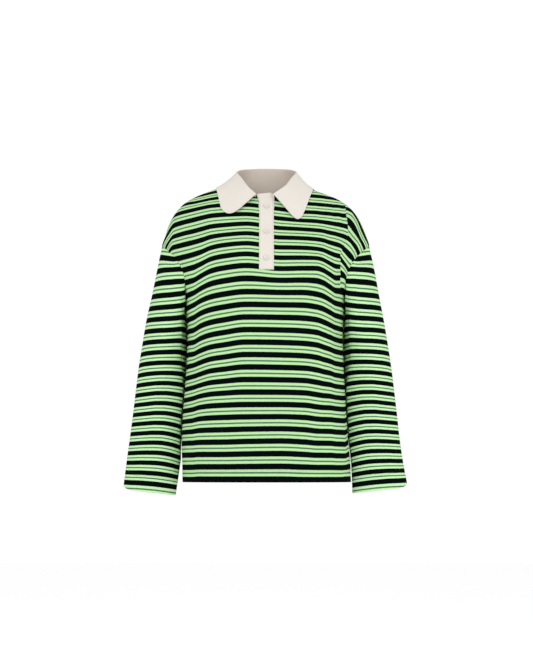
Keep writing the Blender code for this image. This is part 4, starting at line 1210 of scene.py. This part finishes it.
class ShirtSettings(bpy.types.PropertyGroup):
    """Sizes and colours of the shirt."""

    cloth: FloatProperty(
        name="Cloth", description="Thickness of the knitted cloth", default=0.0016, unit="LENGTH"
    )
    crease_depth: FloatProperty(
        name="Crease Depth", description="Depth of the fine creases, 1 as worn", default=1.0
    )
    hem_depth: FloatProperty(
        name="Hem Depth", description="Depth of the turned hem", default=0.0215, unit="LENGTH"
    )
    cuff_depth: FloatProperty(
        name="Cuff Depth", description="Depth of the turned cuffs", default=0.031, unit="LENGTH"
    )
    stripe_repeat: FloatProperty(
        name="Stripe Repeat", description="Length of one repeat", default=0.0259, unit="LENGTH"
    )
    band_share: FloatProperty(
        name="Band Share", description="The dark band's share of a repeat", default=0.463, subtype="FACTOR"
    )
    line_share: FloatProperty(
        name="Line Share", description="The fine line's share of a repeat", default=0.125, subtype="FACTOR"
    )
    body_green: FloatVectorProperty(
        name="Body Green", description="Green of the body", default=(0.545, 0.880, 0.430),
        subtype="COLOR", size=3,
    )
    # The sleeves' green is lighter than the body's: partly the cloth's own tone, partly painted light.
    sleeve_green: FloatVectorProperty(
        name="Sleeve Green", description="Green of the sleeves", default=(0.620, 0.975, 0.510),
        subtype="COLOR", size=3,
    )
    band_colour: FloatVectorProperty(
        name="Band Colour", description="Colour of the dark bands", default=(0.0012, 0.0026, 0.0036),
        subtype="COLOR", size=3,
    )
    line_colour: FloatVectorProperty(
        name="Line Colour", description="Colour of the fine lines", default=(0.10, 0.19, 0.115),
        subtype="COLOR", size=3,
    )
    thread_colour: FloatVectorProperty(
        name="Thread Colour", description="Colour of the hems' thread", default=(0.035, 0.06, 0.035),
        subtype="COLOR", size=3,
    )
    ivory: FloatVectorProperty(
        name="Ivory", description="Colour of the collar and bands", default=(0.860, 0.805, 0.735),
        subtype="COLOR", size=3,
    )
    # A darker ivory for the inside of the stand: painted shade inside the neck.
    collar_inside_shade: FloatVectorProperty(
        name="Collar Inside", description="Colour of the stand's inside", default=(0.715, 0.625, 0.545),
        subtype="COLOR", size=3,
    )
    ivory_thread: FloatVectorProperty(
        name="Ivory Thread", description="Colour of the thread on ivory", default=(0.62, 0.54, 0.45),
        subtype="COLOR", size=3,
    )
    button_colour: FloatVectorProperty(
        name="Button Colour", description="Colour of the buttons", default=(0.86, 0.80, 0.72),
        subtype="COLOR", size=3,
    )


class StageSettings(bpy.types.PropertyGroup):
    """The floor, the light and the camera."""

    floor_z: FloatProperty(
        name="Floor", description="Height of the floor", default=-1.45, unit="LENGTH"
    )
    camera_distance: FloatProperty(
        name="Camera Distance", description="From the camera to the shirt", default=2.4, unit="LENGTH"
    )
    camera_z: FloatProperty(
        name="Camera Height", description="Height of the camera", default=-0.62, unit="LENGTH"
    )
    aim_z: FloatProperty(
        name="Aim Height", description="Height that the camera is aimed at", default=-0.3146,
        unit="LENGTH",
    )
    daylight: FloatProperty(
        name="Daylight", description="Strength of the light from all round", default=0.60
    )
    key_light: FloatProperty(
        name="Key Light", description="Power of the large soft light in front", default=27.0
    )


def panel_piece(face):
    """The front or the back, with its stripes, and the rows of its hem stitches."""
    shirt = bpy.context.scene.shirt
    outer, inner, plan = panel_grids(face, shirt.crease_depth)
    table = FRONT_STRIPES if face == "front" else BACK_STRIPES
    counts = evened(stripe_count(table, plan[..., 0], plan[..., 1]) + BODY_STRIPES_UP, outer, face)
    counts = np.maximum(counts, LOWEST_ON_BODY)
    past, hidden = shoulder_tuck(plan[..., 0], plan[..., 1])
    tuck = np.stack([past, hidden * shirt.stripe_repeat * (face == "front")], axis=-1)
    across = lengths_across(outer)
    middle = across[:, [across.shape[1] // 2]]
    flat = np.stack([across - middle, counts * shirt.stripe_repeat], axis=-1)
    left_out = None
    if face == "front":
        first = SHOULDER_COLUMNS + NECKLINE_COLUMNS
        centre = outer[:, first + BAND_COLUMNS // 2, 2]
        row = int(np.argmin(np.abs(centre - SLOT_BOTTOM_Z)))
        band = slice(first, first + BAND_COLUMNS + 1)
        for grid in (outer, inner):
            x = grid[row, band, 0]
            deep = 0.0 if grid is outer else shirt.cloth
            grid[row, band, 1] = deep - body_depth(x, np.full_like(x, SLOT_BOTTOM_Z), "front")
            grid[row, band, 2] = SLOT_BOTTOM_Z
        left_out = np.zeros((outer.shape[0] - 1, outer.shape[1] - 1), bool)
        left_out[row:, first : first + BAND_COLUMNS] = True
    material = knit_material("Body Jersey", shirt.body_green, shirt.line_colour)
    piece = shell(f"{face}_panel", outer, inner, flat, material, left_out=left_out, tuck=tuck)
    placed(piece, "striped_knit", face)
    normals = normals_of(outer)
    step = (UNDERARM_Z - HEM_Z) / LOWER_ROWS
    heights = (shirt.hem_depth, shirt.hem_depth + STITCH_ROWS_APART)
    rows = [row_path(outer, normals, up / step) for up in heights]
    rows = [(path[3:-3], out[3:-3]) for path, out in rows]
    thread = thread_material("Dark Thread", shirt.thread_colour)
    sewing = stitches(f"{face}_hem_stitches", rows, thread, radius=HEM_THREAD_RADIUS)
    placed(sewing, "striped_knit")


class SHIRT_OT_front(bpy.types.Operator):
    """Make the front with its slit, its stripes and its turned hem"""

    bl_idname = "shirt.front"
    bl_label = "Front"

    def execute(self, context):
        panel_piece("front")
        return {"FINISHED"}


class SHIRT_OT_back(bpy.types.Operator):
    """Make the back with its stripes and its turned hem"""

    bl_idname = "shirt.back"
    bl_label = "Back"

    def execute(self, context):
        panel_piece("back")
        return {"FINISHED"}


class SHIRT_OT_sleeves(bpy.types.Operator):
    """Make both sleeves with their stripes and their turned cuffs"""

    bl_idname = "shirt.sleeves"
    bl_label = "Sleeves"

    def execute(self, context):
        shirt = context.scene.shirt
        for side, name in ((-1, "left"), (1, "right")):
            outer, inner, turn, share = sleeve_grids(side, shirt.crease_depth)
            out_share = (1 + np.cos(turn)) / 2
            rise = RIGHT_SLEEVE_RISE * share if side > 0 else 0.0
            counts = stripe_count(SLEEVE_STRIPES, out_share, outer[..., 2] - rise)
            counts = np.concatenate([counts, counts[:, :1]], axis=1)
            counts = np.maximum(counts, LOWEST_ON_SLEEVE)
            across = lengths_across(outer, closed=True)
            flat = np.stack([across - across[:, -1:] / 2, counts * shirt.stripe_repeat], axis=-1)
            # The sleeves' lighter green is partly their own tone and partly painted light.
            material = knit_material("Sleeve Jersey", shirt.sleeve_green, shirt.line_colour)
            tuck = np.zeros_like(flat)
            tuck[..., 0] = -1  # nowhere past a fold
            piece = shell(f"{name}_sleeve", outer, inner, flat, material, closed=True, tuck=tuck)
            placed(piece, "striped_knit", f"sleeve_{name}")
            normals = normals_of(outer, closed=True)
            step = np.linalg.norm(outer[10] - outer[0], axis=1).mean() / 10
            heights = (shirt.cuff_depth, shirt.cuff_depth + STITCH_ROWS_APART)
            rows = [row_path(outer, normals, up / step, closed=True) for up in heights]
            thread = thread_material("Dark Thread", shirt.thread_colour)
            sewing = stitches(f"{name}_cuff_stitches", rows, thread, radius=HEM_THREAD_RADIUS)
            placed(sewing, "striped_knit")
        return {"FINISHED"}


class SHIRT_OT_collar(bpy.types.Operator):
    """Make the folded collar with its round corners and its edge stitching"""

    bl_idname = "shirt.collar"
    bl_label = "Collar"

    def execute(self, context):
        shirt = context.scene.shirt
        leaf = LEAF_ROWS
        middle = collar_grid()
        normals = normals_of(middle)
        rows, columns = middle.shape[:2]
        half = normals * (COLLAR_CLOTH / 2)
        outer, inner = middle + half, middle - half
        across = lengths_across(outer)
        up = lengths_across(outer.transpose(1, 0, 2)).T
        flat = np.stack([across - across[:, [columns // 2]], up], axis=-1)
        material = ivory_material("Collar Cloth", shirt.ivory, 0.0007)
        # The stand's inside takes the darker ivory: painted shade inside the neck.
        painted_shade = ivory_material("Collar Inside", shirt.collar_inside_shade, 0.0007)
        piece = shell(
            "shirt_collar", outer, inner, flat, material, painted_shade=painted_shade, shade_from_row=leaf + 7
        )
        placed(piece, "ivory_cloth", "collar")
        faces = [
            (r * columns + c, r * columns + c + 1, (r + 1) * columns + c + 1, (r + 1) * columns + c)
            for r in range(rows - 1)
            for c in range(columns - 1)
        ]
        surface = BVHTree.FromPolygons([Vector(p) for p in outer.reshape(-1, 3)], faces)
        edge = np.concatenate([outer[leaf:0:-1, 0], outer[0, :], outer[1 : leaf + 1, -1]])
        out = np.concatenate([normals[leaf:0:-1, 0], normals[0, :], normals[1 : leaf + 1, -1]])
        run = np.gradient(edge, axis=0)
        inward = np.cross(out, run)
        inward /= np.linalg.norm(inward, axis=1, keepdims=True)
        path, outward = [], []
        for point, direction in zip(edge, inward):
            spot, normal, _, _ = surface.find_nearest(Vector(point + direction * 0.0034))
            path.append(spot)
            outward.append(normal)
        outward = np.array(outward)
        outward *= np.sign((outward * out).sum(axis=1, keepdims=True))
        thread = thread_material("Ivory Thread", shirt.ivory_thread)
        sewing = stitches("collar_stitches", [(np.array(path), outward)], thread)
        placed(sewing, "ivory_cloth")
        return {"FINISHED"}


class SHIRT_OT_placket(bpy.types.Operator):
    """Make the two bands of the placket with their stitching"""

    bl_idname = "shirt.placket"
    bl_label = "Placket"

    def execute(self, context):
        shirt = context.scene.shirt
        thread = thread_material("Ivory Thread", shirt.ivory_thread)
        material = ivory_material("Band Cloth", shirt.ivory, 0.0006)
        edge = SLOT_HALF - SEAM_GAP
        parts = {
            "under_band": (-edge, edge, BAND_TOP_Z, SLOT_BOTTOM_Z + SEAM_GAP, 60, 12, 0.0),
            "upper_band": (
                -BAND_HALF, BAND_HALF, BAND_TOP_Z, BAND_BOTTOM_Z, 70, 14,
                BAND_CLOTH + SEAM_GAP, BAND_LEAN,
            ),
        }
        for name, sizes in parts.items():
            outer, inner = band_grids(*sizes)
            up = lengths_across(outer.transpose(1, 0, 2)).T
            flat = np.stack([lengths_across(outer), up], axis=-1)
            piece = shell(name, outer, inner, flat, material)
            placed(piece, "ivory_cloth", "placket_under" if name == "under_band" else "placket_upper")
            sewing = []
            if name == "upper_band":
                normals = normals_of(outer)
                paths = [column_path(outer, normals, at) for at in (0.9, 13.1)]
                paths.append(row_path(outer, normals, 0.8))
                sewing = [placed(stitches("band_stitches", paths, thread), "ivory_cloth")]
        return {"FINISHED"}


def button_form():
    """A button's points and faces, flat on its back round its own middle."""
    points, faces = [], []
    for share, deep in BUTTON_PROFILE:
        radius = share * BUTTON_RADIUS
        for a in np.arange(BUTTON_SIDES) * 2 * math.pi / BUTTON_SIDES if share else (0.0,):
            points.append((radius * math.cos(a), radius * math.sin(a), deep * BUTTON_DEPTH))
    rings = len(BUTTON_PROFILE) - 2
    last = 1 + (rings - 1) * BUTTON_SIDES
    for j in range(BUTTON_SIDES):
        k = (j + 1) % BUTTON_SIDES
        faces.append((0, 1 + k, 1 + j))
        for ring in range(rings - 1):
            low, high = 1 + ring * BUTTON_SIDES, 1 + (ring + 1) * BUTTON_SIDES
            faces.append((low + j, low + k, high + k, high + j))
        faces.append((last + j, last + k, len(points) - 1))
    return np.array(points), faces


class SHIRT_OT_buttons(bpy.types.Operator):
    """Make the three buttons with their raised rims and bars of thread"""

    bl_idname = "shirt.buttons"
    bl_label = "Buttons"

    def execute(self, context):
        shirt = context.scene.shirt
        material = button_material(shirt.button_colour)
        thread = thread_material("Ivory Thread", shirt.ivory_thread)
        points, faces = button_form()
        bar_x, bar_end = 0.0013, 0.0036
        for number, height in enumerate(BUTTON_HEIGHTS, 1):
            above, below, middle = (
                float(body_depth(np.array(0.0), np.array(height + d), "front"))
                for d in (BUTTON_RADIUS, -BUTTON_RADIUS, 0.0)
            )
            lean = math.atan2(below - above, 2 * BUTTON_RADIUS)
            bow = abs((above + below) / 2 - middle)
            normal = np.array([0.0, -math.cos(lean), math.sin(lean)])
            spot = np.array([0.0, -middle, height]) + normal * (BAND_CLOTH + SEAM_GAP * 2 + bow)
            turned = np.array([[1, 0, 0], [0, math.sin(lean), math.cos(lean)], normal])
            mesh = bpy.data.meshes.new(f"round_button_{number}")
            mesh.from_pydata((points @ turned + spot).tolist(), [], faces)
            mesh.materials.append(material)
            mesh.shade_smooth()
            mesh.set_sharp_from_angle(angle=math.radians(70))
            placed(linked(f"round_button_{number}", mesh), "button_shell", f"button_{number}")
            face = spot + normal * BUTTON_DEPTH * BUTTON_FACE
            paths = []
            for x in (-bar_x, bar_x):
                ends = [face + turned[0] * x + turned[1] * up for up in (-bar_end, bar_end)]
                paths.append((np.array(ends), np.array([normal, normal])))
            sewing = stitches(
                f"button_thread_{number}", paths, thread, length=0.0028, gap=0.002, radius=0.00035
            )
            placed(sewing, "ivory_cloth")
        return {"FINISHED"}


class SHIRT_OT_stage(bpy.types.Operator):
    """Set the pale floor, the soft light and the camera"""

    bl_idname = "shirt.stage"
    bl_label = "Stage"

    def execute(self, context):
        scene = context.scene
        stage = scene.stage
        material, tree, shader = plain_material("Pale Floor", 0.9, 0.1)
        shader.inputs["Base Color"].default_value = (0.93, 0.93, 0.93, 1)
        seen = node(tree, "ShaderNodeLightPath").outputs["Is Camera Ray"]
        lit = math_node(tree, "MULTIPLY", seen, FLOOR_SEEN)
        tree.links.new(lit, shader.inputs["Emission Color"])
        shader.inputs["Emission Strength"].default_value = 1.0
        mesh = bpy.data.meshes.new("floor")
        corners = [(-6, -4), (6, -4), (6, 8), (-6, 8)]
        mesh.from_pydata([(x, y, stage.floor_z) for x, y in corners], [], [(0, 1, 2, 3)])
        mesh.materials.append(material)
        linked("floor", mesh)
        world = bpy.data.worlds.new("Studio")
        world.use_nodes = True
        tree = world.node_tree
        back = tree.nodes["Background"]
        back.inputs["Color"].default_value = (1, 1, 1, 1)
        seen = node(tree, "ShaderNodeLightPath").outputs["Is Camera Ray"]
        added = BACKDROP_SEEN - stage.daylight
        strength = math_node(tree, "MULTIPLY_ADD", seen, added, stage.daylight)
        tree.links.new(strength, back.inputs["Strength"])
        scene.world = world
        for name, place, aim_z, size, share in LIGHTS:
            data = bpy.data.lights.new(name, "AREA")
            data.energy, data.size = stage.key_light * share, size
            light = linked(name, data)
            light.location = place
            away = Vector((0, 0, aim_z)) - Vector(place)
            light.rotation_euler = away.to_track_quat("-Z", "Y").to_euler()
        data = bpy.data.cameras.new("camera")
        camera = linked("camera", data)
        camera.location = (0.0, -stage.camera_distance, stage.camera_z)
        away = Vector((0.0, 0.0, stage.aim_z)) - camera.location
        camera.rotation_euler = away.to_track_quat("-Z", "Y").to_euler()
        data.sensor_fit = "VERTICAL"
        data.sensor_height = 36.0
        data.lens = data.sensor_height / 2 * away.length / FRAMED_HALF_HEIGHT
        scene.camera = camera
        scene.view_settings.view_transform = "Standard"
        scene.view_settings.look = "None"
        return {"FINISHED"}


class SHIRT_PT_panel(bpy.types.Panel):
    """Lists the shirt's sizes, colours and steps"""

    bl_idname = "SHIRT_PT_panel"
    bl_label = "Polo Shirt"
    bl_space_type = "VIEW_3D"
    bl_region_type = "UI"
    bl_category = "Polo Shirt"

    def draw(self, context):
        for group in (context.scene.shirt, context.scene.stage):
            box = self.layout.box()
            for name in group.bl_rna.properties.keys():
                if name not in ("rna_type", "name"):
                    box.prop(group, name)
        for operator in OPERATORS:
            self.layout.operator(operator.bl_idname)


OPERATORS = (
    SHIRT_OT_stage,
    SHIRT_OT_front,
    SHIRT_OT_back,
    SHIRT_OT_sleeves,
    SHIRT_OT_collar,
    SHIRT_OT_placket,
    SHIRT_OT_buttons,
)
CLASSES = (ShirtSettings, StageSettings, *OPERATORS, SHIRT_PT_panel)


def register():
    """Adds the shirt's settings, steps and panel."""
    for made in CLASSES:
        bpy.utils.register_class(made)
    bpy.types.Scene.shirt = PointerProperty(type=ShirtSettings)
    bpy.types.Scene.stage = PointerProperty(type=StageSettings)


def unregister():
    """Takes the shirt's settings, steps and panel away."""
    del bpy.types.Scene.shirt
    del bpy.types.Scene.stage
    for made in reversed(CLASSES):
        bpy.utils.unregister_class(made)


def main():
    """Makes the whole shirt."""
    register()
    bpy.ops.shirt.stage()
    bpy.ops.shirt.front()
    bpy.ops.shirt.back()
    bpy.ops.shirt.sleeves()
    bpy.ops.shirt.collar()
    bpy.ops.shirt.placket()
    bpy.ops.shirt.buttons()


if __name__ == "__main__":
    main()
